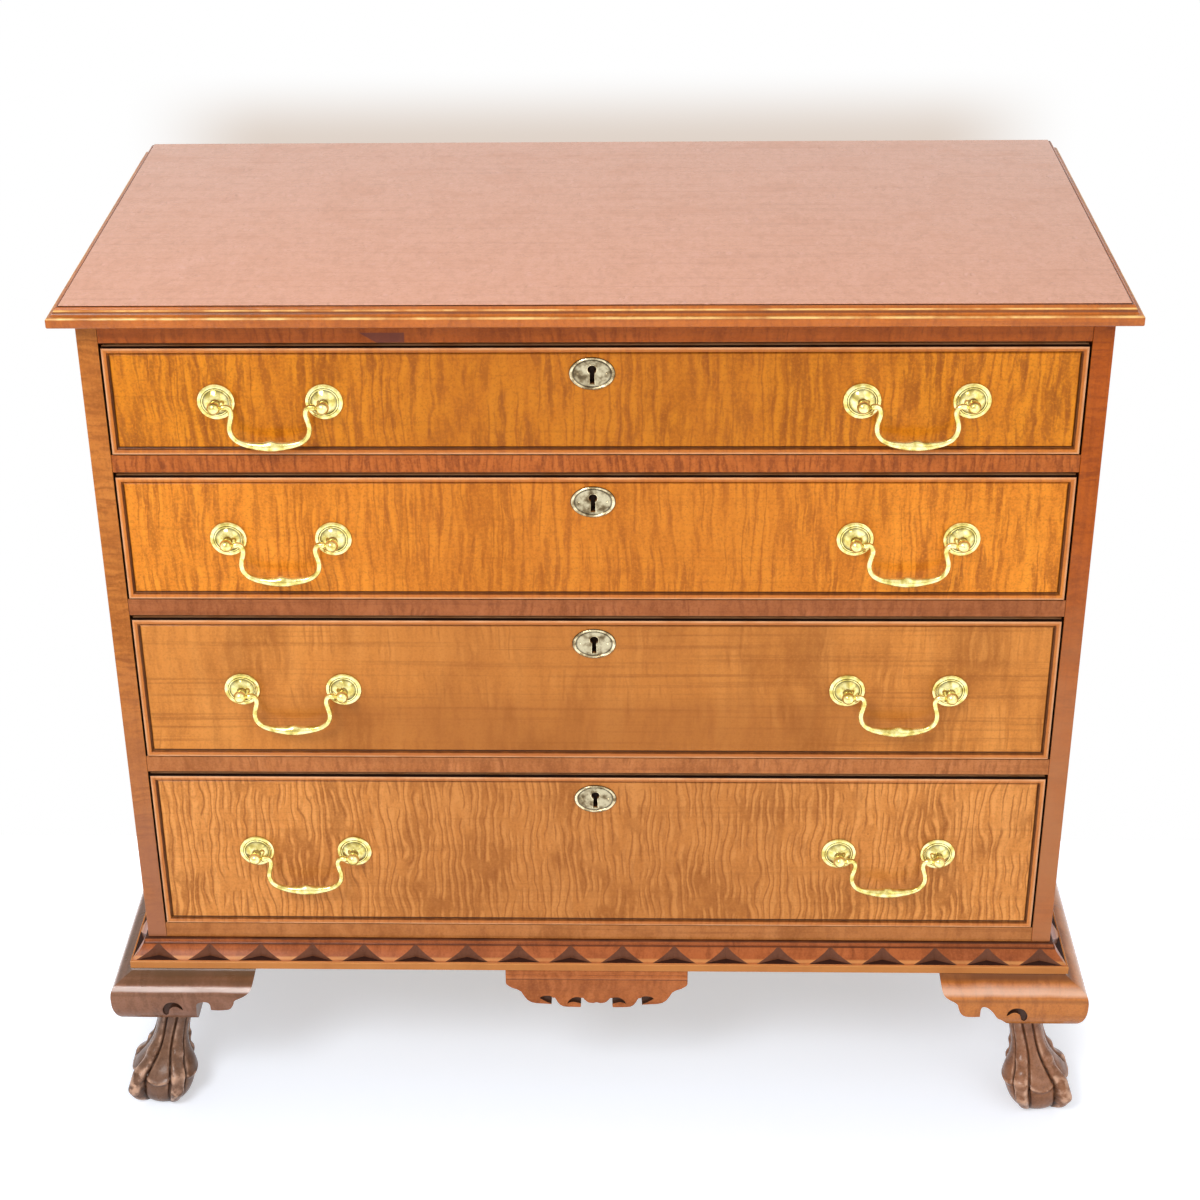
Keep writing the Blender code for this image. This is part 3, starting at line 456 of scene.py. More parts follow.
def bead_lines(w, given):
    """Masks of a front's bead: the sunk line inside it, painted dark with shade and dirt, the painted
    highlight on its outer edge, itself, and the painted shade on its sides behind it.
    """
    above, below, nearest = w.insets(given)
    inset = w.least(nearest[0], nearest[2])
    uneven = w.times(w.minus(w.noise(given["Place"], 90.0, 2.0), 0.5), 0.0008)
    away = w.math("ABSOLUTE", w.plus(w.minus(inset, BEAD_WIDTH + BEAD_QUIRK * 0.45), uneven))
    # The sunk line is painted shade with some dirt, kept weaker along the top, where the light from above
    # reaches it
    lower = w.ramp(below[2], BEAD_WIDTH, BEAD_WIDTH + 2 * BEAD_QUIRK, 0.30, 1.0)
    sunk = w.times(w.ramp(away, BEAD_QUIRK * 0.85, BEAD_QUIRK * 0.30), lower)
    broken = w.ramp(w.noise(given["Place"], 38.0, 3.0), 0.30, 0.60, 0.45, 1.0)
    # A painted highlight on the bead's outer arris, broken in places
    rubbed = w.times(w.ramp(inset, 0.0032, 0.0010), broken)
    bead = w.ramp(inset, BEAD_WIDTH + 0.0004, BEAD_WIDTH - 0.0004)
    # Painted shade, near black, on the front's top and sides behind the bead, so the gaps read dark
    behind = w.times(w.ramp(inset, 0.0012, 0.0006), w.ramp(above[1], 0.0010, 0.0022))
    seam = w.times(w.most(behind, w.ramp(inset, 0.0007, 0.0002)), w.ramp(above[1], 0.0072, 0.0046))
    return sunk, rubbed, bead, seam


def top_edge(w, given):
    """Masks of a top's moulded edge, of the painted highlights along its arris and fillet, broken in places,
    and of the painted shade with some dirt in its quirk and under its fillet.
    """
    up, down, _ = w.insets(given)
    inset = w.least(up[0], down[0], up[1])
    moulded = w.ramp(down[2], 0.0002, 0.0008)
    arris = w.near(up[2], LIP_HEIGHT - 0.0010, 0.0013, 0.0004)
    fillet = w.near(up[2], LIP_HEIGHT + COVE_RADIUS + EDGE_FILLET * 0.6, 0.0010, 0.0003)
    broken = w.ramp(w.noise(given["Place"], 22.0, 4.0, 0.0, 0.65), 0.38, 0.60, 0.25, 1.0)
    side = LIP_ROUND + COVE_RADIUS + EDGE_FILLET + OVOLO_RADIUS
    quirk = w.times(w.ramp(inset, side - 0.0005, side + 0.0002), moulded)
    cove_top = LIP_HEIGHT + COVE_RADIUS
    under = w.near(inset, LIP_ROUND + COVE_RADIUS - 0.0004, 0.0007, 0.0002)
    under = w.times(under, w.ramp(up[2], cove_top, cove_top - 0.0006), 0.7)
    return moulded, w.times(w.most(arris, fillet), broken), w.most(quirk, under)


def level_band(w, given):
    """A mask that is 1 between two heights, with soft, slightly uneven edges."""
    low, high, soft = given["Low"], given["High"], given["Soft"]
    uneven = w.times(w.minus(w.noise(given["Place"], 30.0, 3.0), 0.5), soft)
    height = w.plus(w.parts(given["Place"])[2], uneven)
    over = w.ramp(height, w.minus(low, soft), w.plus(low, soft))
    under = w.ramp(height, w.plus(high, soft), w.minus(high, soft))
    patchy = w.ramp(w.noise(given["Place"], 16.0, 3.0), 0.25, 0.60, 0.65, 1.0)
    return [w.times(over, under, patchy)]


def carved_depth(w, given):
    """Darkens hollows with grime and painted shade and lifts ridges with polish and painted highlights, from
    what a carved piece's mesh says of each point.
    """
    patchy = w.ramp(w.noise(given["Place"], 70.0, 3.0), 0.30, 0.70, 0.6, 1.0)
    # Grime and painted shade in the hollows
    deep = w.times(given["Hollow"], patchy)
    # Polish and painted highlights on the ridges
    ridge_wear_and_highlight = w.times(given["Ridge"], w.ramp(w.noise(given["Place"], 110.0, 3.0), 0.40, 0.62))
    return w.layers(given["Color"], (ridge_wear_and_highlight, 0.75, given["Polish"]), (deep, 0.92, given["Grime"])), deep


def lacquered_brass(w, given):
    """Polished brass with soft clouding, fine rub marks and darker spots."""
    place = given["Place"]
    cloud = w.noise(place, 130.0, 3.0, given["Seed"])
    spots = w.ramp(w.noise(place, 900.0, 2.0, given["Seed"]), 0.66, 0.74)
    rub = w.noise(w.vector("MULTIPLY", place, (300.0, 2600.0, 700.0)), 1.0, 2.0)
    color = w.blend(w.ramp(cloud, 0.35, 0.65), given["Bright"], given["Ground"])
    dim = w.times(w.ramp(cloud, 0.45, 0.75), given["Tarnish"])
    for share in (dim, w.times(spots, given["Tarnish"]), w.times(given["Hollow"], 0.8)):
        color = w.blend(share, color, given["Dark"])
    height = w.plus(rub, w.times(cloud, 0.5))
    return color, height, w.plus(w.times(dim, 0.5), w.times(rub, 0.25))


CURLY_WOOD = new_group(
    curly_wood, ["Color", "Height", "Dullness"],
    Place=VECTOR, Seed=0.0, Pitch=0.010, Run=0.03, Sway=0.008, Curl=0.8, Cover=0.5, Streaks=0.4, Clouds=0.6,
    Flame=0.4, Pale=COLOR, Ground=COLOR, Dark=COLOR,
)
EDGE_WEAR = new_group(edge_wear, ["Wear"], **IN_BOX, Width=0.0012)
SEAM_SHADE_AND_DIRT_MASK = new_group(seam_shade_and_dirt, ["Dirt"], **IN_BOX, Width=0.002, Front=-FAR)
BEAD_LINES = new_group(bead_lines, ["Sunk", "ArrisHighlight", "Bead", "Seam"], **IN_BOX)
TOP_EDGE = new_group(top_edge, ["Moulded", "Bright", "Sunk"], **IN_BOX)
LEVEL_BAND = new_group(level_band, ["Band"], Place=VECTOR, Low=0.0, High=0.0, Soft=0.001)
CARVED_DEPTH = new_group(
    carved_depth, ["Color", "Dullness"],
    Color=COLOR, Grime=tint(38, 20, 12), Polish=tint(224, 178, 148), Hollow=0.0, Ridge=0.0, Place=VECTOR,
)
LACQUERED_BRASS = new_group(
    lacquered_brass, ["Color", "Height", "Dullness"],
    Place=VECTOR, Seed=0.0, Hollow=0.0, Tarnish=0.3, Bright=COLOR, Ground=COLOR, Dark=COLOR,
)

# Turns of the wood that bring its grain onto X: along X, up Z and along Y
GRAIN_ALONG = (0.0, 0.0, 0.0)
GRAIN_UP = (0.0, math.radians(90), 0.0)
GRAIN_DEEP = (0.0, 0.0, math.radians(-90))


def new_material(name):
    """A material with its Principled shader's inputs, its wiring and the coordinates of the object."""
    material = bpy.data.materials.new(name)
    material.use_nodes = True
    w = Wiring(material.node_tree)
    place = w.node("TexCoord", {}).outputs["Object"]
    return material, w, material.node_tree.nodes["Principled BSDF"].inputs, place


def use_group(w, group, inputs):
    """Places a shader group in a material and returns its outputs."""
    return w.node("Group", inputs, node_tree=group).outputs


def in_box(place, box):
    """The inputs of a group that works inside a box."""
    low, high = box
    return {"Place": place, "Low": tuple(low), "High": tuple(high)}


def attribute(w, name):
    """A number that the mesh holds at each point."""
    return w.node("Attribute", {}, attribute_name=name, attribute_type="GEOMETRY").outputs["Fac"]


def raise_grain(w, shader, height, strength, distance):
    """Joins a bump to the shader."""
    bump = w.node("Bump", {"Strength": strength, "Distance": distance, "Height": height})
    w.feed(shader["Normal"], bump.outputs["Normal"])


def varnish(w, shader, color, dullness, height, finish):
    """Joins colour, roughness and bump to the shader, under a clear coat."""
    low, high, specular, coat, coat_roughness, bump = finish
    w.feed(shader["Base Color"], color)
    w.feed(shader["Roughness"], w.ramp(dullness, 0.2, 0.8, low, high))
    shader["Specular IOR Level"].default_value = specular
    shader["Coat Weight"].default_value = coat
    shader["Coat Roughness"].default_value = coat_roughness
    raise_grain(w, shader, height, bump, 0.0004)


# Finishes: least and most roughness, specular level, coat, the coat's roughness, and bump
SATIN = (0.34, 0.50, 0.14, 0.08, 0.18, 0.10)
POLISHED = (0.26, 0.36, 0.35, 0.30, 0.16, 0.05)
GLOSSY = (0.26, 0.38, 0.22, 0.14, 0.14, 0.12)
BARE = (0.55, 0.75, 0.20, 0.0, 0.30, 0.30)
EDGE_COAT = 0.05


def board(w, place, tints, figure, seed, turn=GRAIN_ALONG):
    """The curly wood's outputs for one board."""
    turned = w.node("Mapping", {"Vector": place, "Rotation": turn}).outputs[0]
    inputs = {"Place": turned, "Seed": seed}
    inputs.update(zip(("Pale", "Ground", "Dark"), tints))
    inputs.update(zip(("Pitch", "Run", "Sway", "Curl", "Cover", "Streaks", "Clouds", "Flame"), figure))
    return use_group(w, CURLY_WOOD, inputs)


def repair_mask(w, place, repair):
    """1 on a let-in piece of wood with a slanting left end: its left, its right and its top."""
    left, right, top = repair
    x, _, z = w.parts(place)
    slant = w.times(w.minus(top, z), REPAIR_SLANT)
    inside = w.ramp(w.minus(x, slant), left - 0.0008, left + 0.0008)
    return w.times(inside, w.ramp(x, right + 0.0006, right - 0.0006), w.ramp(z, top + 0.0006, top - 0.0006))


def wood_material(name, tints, figure, turn, finish, seed=0.0, box=None, seam=None, bands=(), repair=None):
    """A board's wood. It is rubbed at the edges of its box, and painted dark with shade and some dirt by the
    faces of its seam's box.

    A seam is a low and a high corner, a width and the plane that it starts behind. Bands are level
    bands of another colour, each a low and a high edge, how soft, its share and its colour.
    """
    material, w, shader, place = new_material(name)
    wood = board(w, place, tints, figure, seed, turn)
    color = wood["Color"]
    for low, high, soft, share, band_color in bands:
        band = use_group(w, LEVEL_BAND, {"Place": place, "Low": low, "High": high, "Soft": soft})["Band"]
        color = w.layers(color, (band, share, band_color))
    if repair:
        color = w.layers(color, (repair_mask(w, place, repair), 0.80, REPAIR_COLOR))
    if box:
        color = w.layers(color, (use_group(w, EDGE_WEAR, in_box(place, box))["Wear"], 0.5, tints[0]))
    if seam:
        low, high, width, front = seam
        inputs = {**in_box(place, (low, high)), "Width": width, "Front": front}
        # Painted shade with some dirt in the gap by the seam's faces
        color = w.blend(use_group(w, SEAM_SHADE_AND_DIRT_MASK, inputs)["Dirt"], color, SEAM_SHADE_AND_DIRT)
    varnish(w, shader, color, wood["Dullness"], wood["Height"], finish)
    return material


def front_material(name, number, box):
    """A drawer front's wood, darker in its middle, with painted shade and dirt in the line inside its bead, a
    painted highlight on its outer edge and painted shade on its sides.
    """
    material, w, shader, place = new_material(name)
    low, high = box
    dark = DRAWER_TINTS[number][2]
    figure, seed = DRAWER_FIGURES[number]
    wood = board(w, place, DRAWER_TINTS[number], figure, seed)
    lines = use_group(w, BEAD_LINES, in_box(place, box))
    heart = {"Place": place, "Low": -FAR, "High": low.z + 0.42 * (high.z - low.z), "Soft": 0.016}
    x = w.parts(place)[0]
    lower = w.times(use_group(w, LEVEL_BAND, heart)["Band"], w.near(x, 0.0, 0.42, 0.20))
    color = w.layers(
        wood["Color"],
        (w.near(x, 0.0, 0.36, 0.10), 0.34, dark),
        (lower, DRAWER_SHADE[number], dark),
        (lines["Bead"], 0.60, BEAD_COLOR),
        # Painted highlight on the outer arris, painted shade with dirt in the sunk line, and painted shade in
        # the gaps
        (lines["ArrisHighlight"], 0.60, ARRIS_HIGHLIGHT),
        (lines["Sunk"], 0.85, SUNK_SHADE_AND_DIRT),
        (lines["Seam"], 1.0, SEAM_SHADE_AND_DIRT),
    )
    varnish(w, shader, color, wood["Dullness"], wood["Height"], SATIN)
    return material


def top_material(name, box):
    """The top board's wood, pale where it is flat, partly as painted sheen, and brown along its moulded edge,
    with painted highlights and painted shade on that edge.
    """
    material, w, shader, place = new_material(name)
    flat = board(w, place, TOP_TINTS_WITH_SHEEN, TOP_FIGURE, 2.0)
    moulded = board(w, place, TOP_EDGE_TINTS, QUIET_RAIL, 3.0)
    edge = use_group(w, TOP_EDGE, in_box(place, box))
    color = w.layers(
        flat["Color"],
        (edge["Moulded"], 1.0, moulded["Color"]),
        # Painted highlights along the arris and fillet, then painted shade with some dirt in the quirk
        (edge["Bright"], 0.85, GOLDEN_EDGE_HIGHLIGHT),
        (edge["Sunk"], 0.90, SUNK_SHADE_AND_DIRT),
    )
    varnish(w, shader, color, flat["Dullness"], flat["Height"], POLISHED)
    w.feed(shader["Coat Weight"], w.ramp(edge["Moulded"], 0.0, 1.0, POLISHED[3], EDGE_COAT))
    return material


def claw_material(name, tints, seed):
    """Wood of the carved feet, with grime and painted shade in their hollows, and rubbed ridges with painted
    highlights.
    """
    material, w, shader, place = new_material(name)
    wood = board(w, place, tints, BASE_FIGURE, seed, GRAIN_UP)
    inputs = {"Hollow": attribute(w, "hollow"), "Ridge": attribute(w, "ridge")}
    carved = use_group(w, CARVED_DEPTH, {"Color": wood["Color"], "Place": place, **inputs})
    dullness = w.plus(wood["Dullness"], carved["Dullness"])
    varnish(w, shader, carved["Color"], dullness, wood["Height"], GLOSSY)
    return material


def brass_material(name, tints, tarnish, low, high, metallic, seed=0.0):
    """Brass of a pull or a plate, darker in its hollows."""
    material, w, shader, place = new_material(name)
    inputs = {"Place": place, "Seed": seed, "Hollow": attribute(w, "hollow"), "Tarnish": tarnish}
    inputs.update(zip(("Bright", "Ground", "Dark"), tints))
    brass = use_group(w, LACQUERED_BRASS, inputs)
    w.feed(shader["Base Color"], brass["Color"])
    w.feed(shader["Roughness"], w.ramp(brass["Dullness"], 0.0, 0.6, low, high))
    shader["Metallic"].default_value = metallic
    raise_grain(w, shader, brass["Height"], 0.06, 0.0002)
    return material


# Painted shade inside the keyhole
KEYHOLE_SHADE = wood_material("keyhole_inside", KEYHOLE_SHADE_TINTS, PLAIN_FIGURE, GRAIN_ALONG, BARE)
BRASS = brass_material("polished_brass", BRASS_TINTS, 0.40, 0.12, 0.28, 0.80)
PLATE = brass_material("antique_plate", PLATE_TINTS, 0.65, 0.16, 0.42, 0.85, 5.0)


# Mesh tools
UPRIGHT = Matrix.Rotation(math.radians(90), 4, "X")
QUARTER_TURN = Matrix.Rotation(math.radians(90), 4, "Z")


def at(x, y, z):
    """The move to a place."""
    return Matrix.Translation((x, y, z))


def flipped(side):
    """A mirror in X for the left side, and none for the right."""
    return Matrix.Diagonal((side, 1.0, 1.0, 1.0))


def smooth(mesh, sharp=SHARP_ANGLE):
    """Shades a mesh smooth except at its sharp edges."""
    mesh.shade_smooth()
    mesh.set_sharp_from_angle(angle=math.radians(sharp))
    return mesh


def mesh_from(work, name):
    """The mesh of a finished bmesh."""
    bmesh.ops.recalc_face_normals(work, faces=work.faces)
    mesh = bpy.data.meshes.new(name)
    work.to_mesh(mesh)
    work.free()
    return smooth(mesh)


def mark(mesh, label, values):
    """Gives each point of a mesh a number that its material can read."""
    layer = mesh.attributes.new(label, "FLOAT", "POINT")
    layer.data.foreach_set("value", np.asarray(values, dtype=np.float32))


def put_in_scene(name, data):
    """An object of the scene with its mesh, curve, lamp or camera."""
    made = bpy.data.objects.new(name, data)
    bpy.context.scene.collection.objects.link(made)
    return made


def add_piece(name, mesh, material, body, replaced=()):
    """A new piece on a body and the nodes it stands for. A carved mesh has its materials."""
    piece = put_in_scene(name, mesh)
    if material:
        mesh.materials.append(material)
    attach(piece, body)
    if replaced:
        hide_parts(*replaced)


def arc(middle, radius, start, end, steps):
    """Points of an arc in degrees, both ends included."""
    points = []
    for step in range(steps + 1):
        angle = math.radians(start + (end - start) * step / steps)
        points.append((middle[0] + radius * math.cos(angle), middle[1] + radius * math.sin(angle)))
    return points


def smooth_line(points, steps):
    """A smooth line through points, with this many steps between each two."""
    line = []
    ends = [points[0], *points, points[-1]]
    for before, first, second, after in zip(ends, ends[1:], ends[2:], ends[3:]):
        for step in range(steps):
            t = step / steps
            weights = (
                -0.5 * t + t * t - 0.5 * t ** 3, 1 - 2.5 * t * t + 1.5 * t ** 3,
                0.5 * t + 2 * t * t - 1.5 * t ** 3, 0.5 * t ** 3 - 0.5 * t * t,
            )
            parts = zip(before, first, second, after)
            line.append(tuple(sum(value * weight for value, weight in zip(part, weights)) for part in parts))
    return line + [tuple(points[-1])]


def loft(work, rings, capped=True):
    """Faces between closed rings of equally many points, added to a bmesh, with or without end faces."""
    loops = [[work.verts.new(point) for point in ring] for ring in rings]
    count = len(loops[0])
    for lower, upper in zip(loops, loops[1:]):
        for i in range(count):
            after = (i + 1) % count
            work.faces.new((lower[i], lower[after], upper[after], upper[i]))
    if capped:
        work.faces.new(list(reversed(loops[0])))
        work.faces.new(loops[-1])


def lofted(name, rings):
    """The solid between closed rings of equally many points."""
    work = bmesh.new()
    loft(work, rings)
    return mesh_from(work, name)


def outline_mesh(name, points, thickness, bevel=0.0):
    """A flat outline in X and Y as a solid about Z 0 with rounded edges."""
    curve = bpy.data.curves.new(name, "CURVE")
    curve.dimensions = "2D"
    curve.fill_mode = "BOTH"
    curve.extrude = thickness / 2 - bevel
    curve.bevel_depth = bevel
    curve.bevel_resolution = 2
    curve.offset = -bevel
    spline = curve.splines.new("POLY")
    spline.points.add(len(points) - 1)
    for point, (x, y) in zip(spline.points, points):
        point.co = (x, y, 0.0, 1.0)
    spline.use_cyclic_u = True
    drawn = put_in_scene(name, curve)
    evaluated = drawn.evaluated_get(bpy.context.evaluated_depsgraph_get())
    work = bmesh.new()
    work.from_mesh(bpy.data.meshes.new_from_object(evaluated))
    bpy.data.objects.remove(drawn)
    bmesh.ops.remove_doubles(work, verts=work.verts, dist=WELD)
    return mesh_from(work, name)


def carve(mesh, cutters, sharp=SHARP_ANGLE):
    """Takes the cutters' shapes out of a mesh, and keeps the cutters' materials on the cuts."""
    stock = put_in_scene("stock", mesh)
    tools = [put_in_scene("tool", cutter) for cutter in cutters]
    for tool in tools:
        boolean = stock.modifiers.new("carve", "BOOLEAN")
        boolean.operation = "DIFFERENCE"
        boolean.solver = "EXACT"
        boolean.material_mode = "TRANSFER"
        boolean.object = tool
    evaluated = stock.evaluated_get(bpy.context.evaluated_depsgraph_get())
    carved = bpy.data.meshes.new_from_object(evaluated)
    for each in (stock, *tools):
        bpy.data.objects.remove(each)
    return smooth(carved, sharp)


# Case
def top_profile():
    """The top board's moulded edge, as inset and height from its underside up."""
    thickness = TOP_HIGH.z - TOP_LOW.z
    lip = LIP_ROUND
    cove_end = lip + COVE_RADIUS
    fillet = cove_end + EDGE_FILLET
    shoulder = LIP_HEIGHT + COVE_RADIUS
    ovolo_end = fillet + OVOLO_RADIUS
    floor = shoulder + EDGE_FILLET + OVOLO_RADIUS - 0.0004
    points = arc((lip, lip), lip, 270, 180, 6)
    points += arc((lip, LIP_HEIGHT - lip), lip, 180, 90, 8)
    points += arc((lip, shoulder), COVE_RADIUS, 270, 352, 8)
    points += [(cove_end + 0.0001, shoulder), (fillet - 0.0002, shoulder + 0.0001)]
    points += [(fillet, shoulder + EDGE_FILLET)]
    points += arc((ovolo_end, shoulder + EDGE_FILLET), OVOLO_RADIUS, 175, 95, 7)
    points += [(ovolo_end + 0.0003, floor), (ovolo_end + QUIRK_WIDTH, floor)]
    points += arc((ovolo_end + QUIRK_WIDTH + 0.0005, thickness - 0.0005), 0.0005, 180, 90, 3)
    return points


def build_top():
    """The top board, moulded on its front and both ends."""
    rings = []
    for inset, height in top_profile():
        left, right = TOP_LOW.x + inset, TOP_HIGH.x - inset
        near, z = TOP_LOW.y + inset, TOP_LOW.z + height
        rings.append([(left, near, z), (right, near, z), (right, TOP_HIGH.y, z), (left, TOP_HIGH.y, z)])
    wood = top_material("top_maple", (TOP_LOW, TOP_HIGH))
    add_piece("moulded_top", lofted("moulded_top", rings), wood, "case", ["top_board"])


def soften(node, width):
    """Rounds the edges of a packed board a little."""
    weld = node.modifiers.new("weld", "WELD")
    weld.merge_threshold = WELD
    bevel = node.modifiers.new("soften", "BEVEL")
    bevel.width = width
    bevel.segments = 3
    bevel.limit_method = "ANGLE"
    bevel.angle_limit = math.radians(50)


def finish_board(name, material, width=0.0007):
    """Gives a packed board its wood and softened edges."""
    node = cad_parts[name]
    node.data.materials.clear()
    node.data.materials.append(material)
    soften(node, width)


def finish_case():
    """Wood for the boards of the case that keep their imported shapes."""
    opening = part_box("drawer_1_front")[1].x + FRONT_SIDE_GAP
    for index, side in enumerate(("left", "right")):
        name = f"case_side_{side}"
        low, high = (-FAR, -opening) if side == "left" else (opening, FAR)
        # Painted shade with some dirt on the stile's inner face by the drawer openings
        seam = ((low, -FAR, -FAR), (high, FAR, FAR), SEAM_WIDTH, FRONT_Y)
        bands = ((-FAR, STILE_FADE[side], 0.18, 0.85, STILE_FOOT[side]),)
        wood = wood_material(
            name + "_maple", STILE_TINTS[side], SOFT_RAIL, GRAIN_UP, SATIN, 10.0 + index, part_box(name), seam,
            bands,
        )
        finish_board(name, wood)
    for index, (name, tints) in enumerate(RAIL_TINTS.items()):
        low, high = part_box(name)
        # Painted shade with some dirt along the rail's top and bottom faces, behind its front
        seam = ((-FAR, -FAR, low.z), (FAR, FAR, high.z), SEAM_WIDTH, FRONT_Y)
        repair = (REPAIR_LEFT, REPAIR_RIGHT, low.z + REPAIR_HEIGHT) if name == "top_rail" else None
        figure, seed = RAIL_FIGURES[name], 20.0 + index
        wood = wood_material(
            name + "_maple", tints, figure, GRAIN_ALONG, SATIN, seed, (low, high), seam, repair=repair
        )
        finish_board(name, wood, 0.0005)
    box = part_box("back_panel")
    wood = wood_material("back_poplar", POPLAR_TINTS, POPLAR_FIGURE, GRAIN_UP, BARE, 30.0, box)
    finish_board("back_panel", wood)


# Base
def moulding_profile():
    """The base moulding's section, outwards and upwards from the foot of the case."""
    ledge = MOULDING_REACH - 0.0018
    band = MOULDING_HEIGHT - TOP_BAND
    run = ledge - TOP_REACH - 0.0012
    rise = band - FILLET_HEIGHT
    soft = 0.0006
    points = [(0.0003, 0.0)]
    points += arc((MOULDING_REACH - soft, soft), soft, 270, 360, 3)
    points += arc((MOULDING_REACH - soft, FILLET_HEIGHT - soft), soft, 0, 90, 3)
    points += [(ledge + 0.0002, FILLET_HEIGHT - 0.0003), (ledge - 0.0003, FILLET_HEIGHT + 0.0006)]
    hollow = ((0.06, 0.03), (0.30, 0.21), (0.55, 0.44), (0.75, 0.65), (0.90, 0.84), (0.97, 0.97))
    for back, up in smooth_line(hollow, 3):
        points.append((ledge - run * back, FILLET_HEIGHT + 0.0006 + rise * up))
    points += [(TOP_REACH + 0.0004, band - 0.0002), (TOP_REACH - 0.0006, band + 0.0008)]
    points += [(TOP_REACH, band + 0.0014), (TOP_REACH, MOULDING_HEIGHT - 0.0012)]
    points += [(TOP_REACH - 0.0006, MOULDING_HEIGHT), (0.0003, MOULDING_HEIGHT)]
    return points


def strip_mesh(name, start, length, end_mitre):
    """A length of moulding along X facing -Y, mitred at its start and perhaps at its end."""
    profile = moulding_profile()
    starts = [(start - out, -out, up) for out, up in profile]
    ends = [(length + out * end_mitre, -out, up) for out, up in profile]
    return lofted(name, [starts, ends])


def chip_mesh(name, middles, facets, floors):
    """Three-sided chips along a strip: two facets meet in a valley that falls to a flat floor, painted dark
    with shade and dirt.
    """
    ledge = MOULDING_REACH - 0.0006
    top_up = MOULDING_HEIGHT - TOP_BAND + 0.0002
    top_out = TOP_REACH + 0.0008
    base = FILLET_HEIGHT + 0.0005
    outside = -(MOULDING_REACH + 0.012)
    work = bmesh.new()
    for x in middles:
        corners = [(x - CHIP_WIDTH / 2, -ledge, base), (x + CHIP_WIDTH / 2, -ledge, base)]
        corners += [(x, -top_out, top_up), (x, CHIP_DEPTH - ledge, FILLET_HEIGHT + CHIP_FLOOR)]
        corners += [(x, outside, base), (x, outside, top_up)]
        bmesh.ops.convex_hull(work, input=[work.verts.new(corner) for corner in corners])
    bmesh.ops.recalc_face_normals(work, faces=work.faces)
    for face in work.faces:
        face.material_index = 1 if face.normal.z < -0.9 else 0
    mesh = mesh_from(work, name)
    mesh.materials.append(facets)
    mesh.materials.append(floors)
    return mesh


def side_matrix(side):
    """Turns a strip made along X and facing -Y to face left or right, from the case's front."""
    return at(side * CASE_HALF, FRONT_Y, MOULDING_LOW.z) @ flipped(side) @ QUARTER_TURN


def build_base_moulding():
    """The chip-carved moulding along the front and both sides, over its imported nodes."""
    floor, top = MOULDING_LOW.z, MOULDING_HIGH.z
    ledge = floor + FILLET_HEIGHT
    # The fillet's colour, painted highlights along the fillet's top edge and the cove's foot, painted shade
    # with some dirt in the quirk under the top band and in the joint along the top
    bands = (
        (floor - 0.01, ledge, 0.0004, 0.80, FILLET_TINTS[1]),
        (ledge - 0.0010, ledge + 0.0003, 0.0003, 0.50, FILLET_TINTS[0]),
        (ledge + 0.0012, ledge + 0.0036, 0.0008, 0.60, FILLET_TINTS[0]),
        (top - TOP_BAND - 0.0006, top - TOP_BAND + 0.0004, 0.0004, 0.75, SUNK_SHADE_AND_DIRT),
        (top - 0.0012, top + 0.01, 0.0006, 0.85, SEAM_SHADE_AND_DIRT),
    )
    face, side_face = (
        wood_material(name, MOULDING_TINTS, BASE_FIGURE, turn, SATIN, seed, bands=bands)
        for name, turn, seed in (
            ("moulding_maple", GRAIN_ALONG, 40.0), ("side_moulding_maple", GRAIN_DEEP, 41.0),
        )
    )
    chips = wood_material("chip_facets", FACET_TINTS, PLAIN_FIGURE, GRAIN_ALONG, SATIN, 42.0)
    # Painted shade with dirt on the chips' floors
    floors = wood_material("chip_floors", CHIP_FLOOR_SHADE_AND_DIRT, PLAIN_FIGURE, GRAIN_ALONG, BARE, 43.0)
    run = 2 * (CASE_HALF + MOULDING_REACH - CHIP_FIRST)
    count = round(run / CHIP_PITCH) + 1
    first = CASE_HALF - (count - 1) * CHIP_PITCH / 2
    strip = strip_mesh("chip_moulding_front", 0.0, 2 * CASE_HALF, 1)
    strip.materials.append(face)
    cutter = chip_mesh("front_chips", [first + i * CHIP_PITCH for i in range(count)], chips, floors)
    carved = carve(strip, [cutter], 11)
    carved.transform(at(-CASE_HALF, FRONT_Y, MOULDING_LOW.z))
    add_piece("chip_moulding_front", carved, None, "case", ["base_moulding_front"])
    side_count = int((CASE_DEPTH + MOULDING_REACH - CHIP_FIRST) / CHIP_PITCH)
    middles = [CHIP_FIRST - MOULDING_REACH + i * CHIP_PITCH for i in range(side_count)]
    for label, side in SIDES.items():
        name = f"chip_moulding_{label}"
        strip = strip_mesh(name, 0.0003, CASE_DEPTH, 0)
        strip.materials.append(side_face)
        carved = carve(strip, [chip_mesh(name + "_chips", middles, chips, floors)], 11)
        carved.transform(side_matrix(side))
        if side < 0:
            carved.flip_normals()
        add_piece(name, carved, None, "case", [f"base_moulding_{label}"])


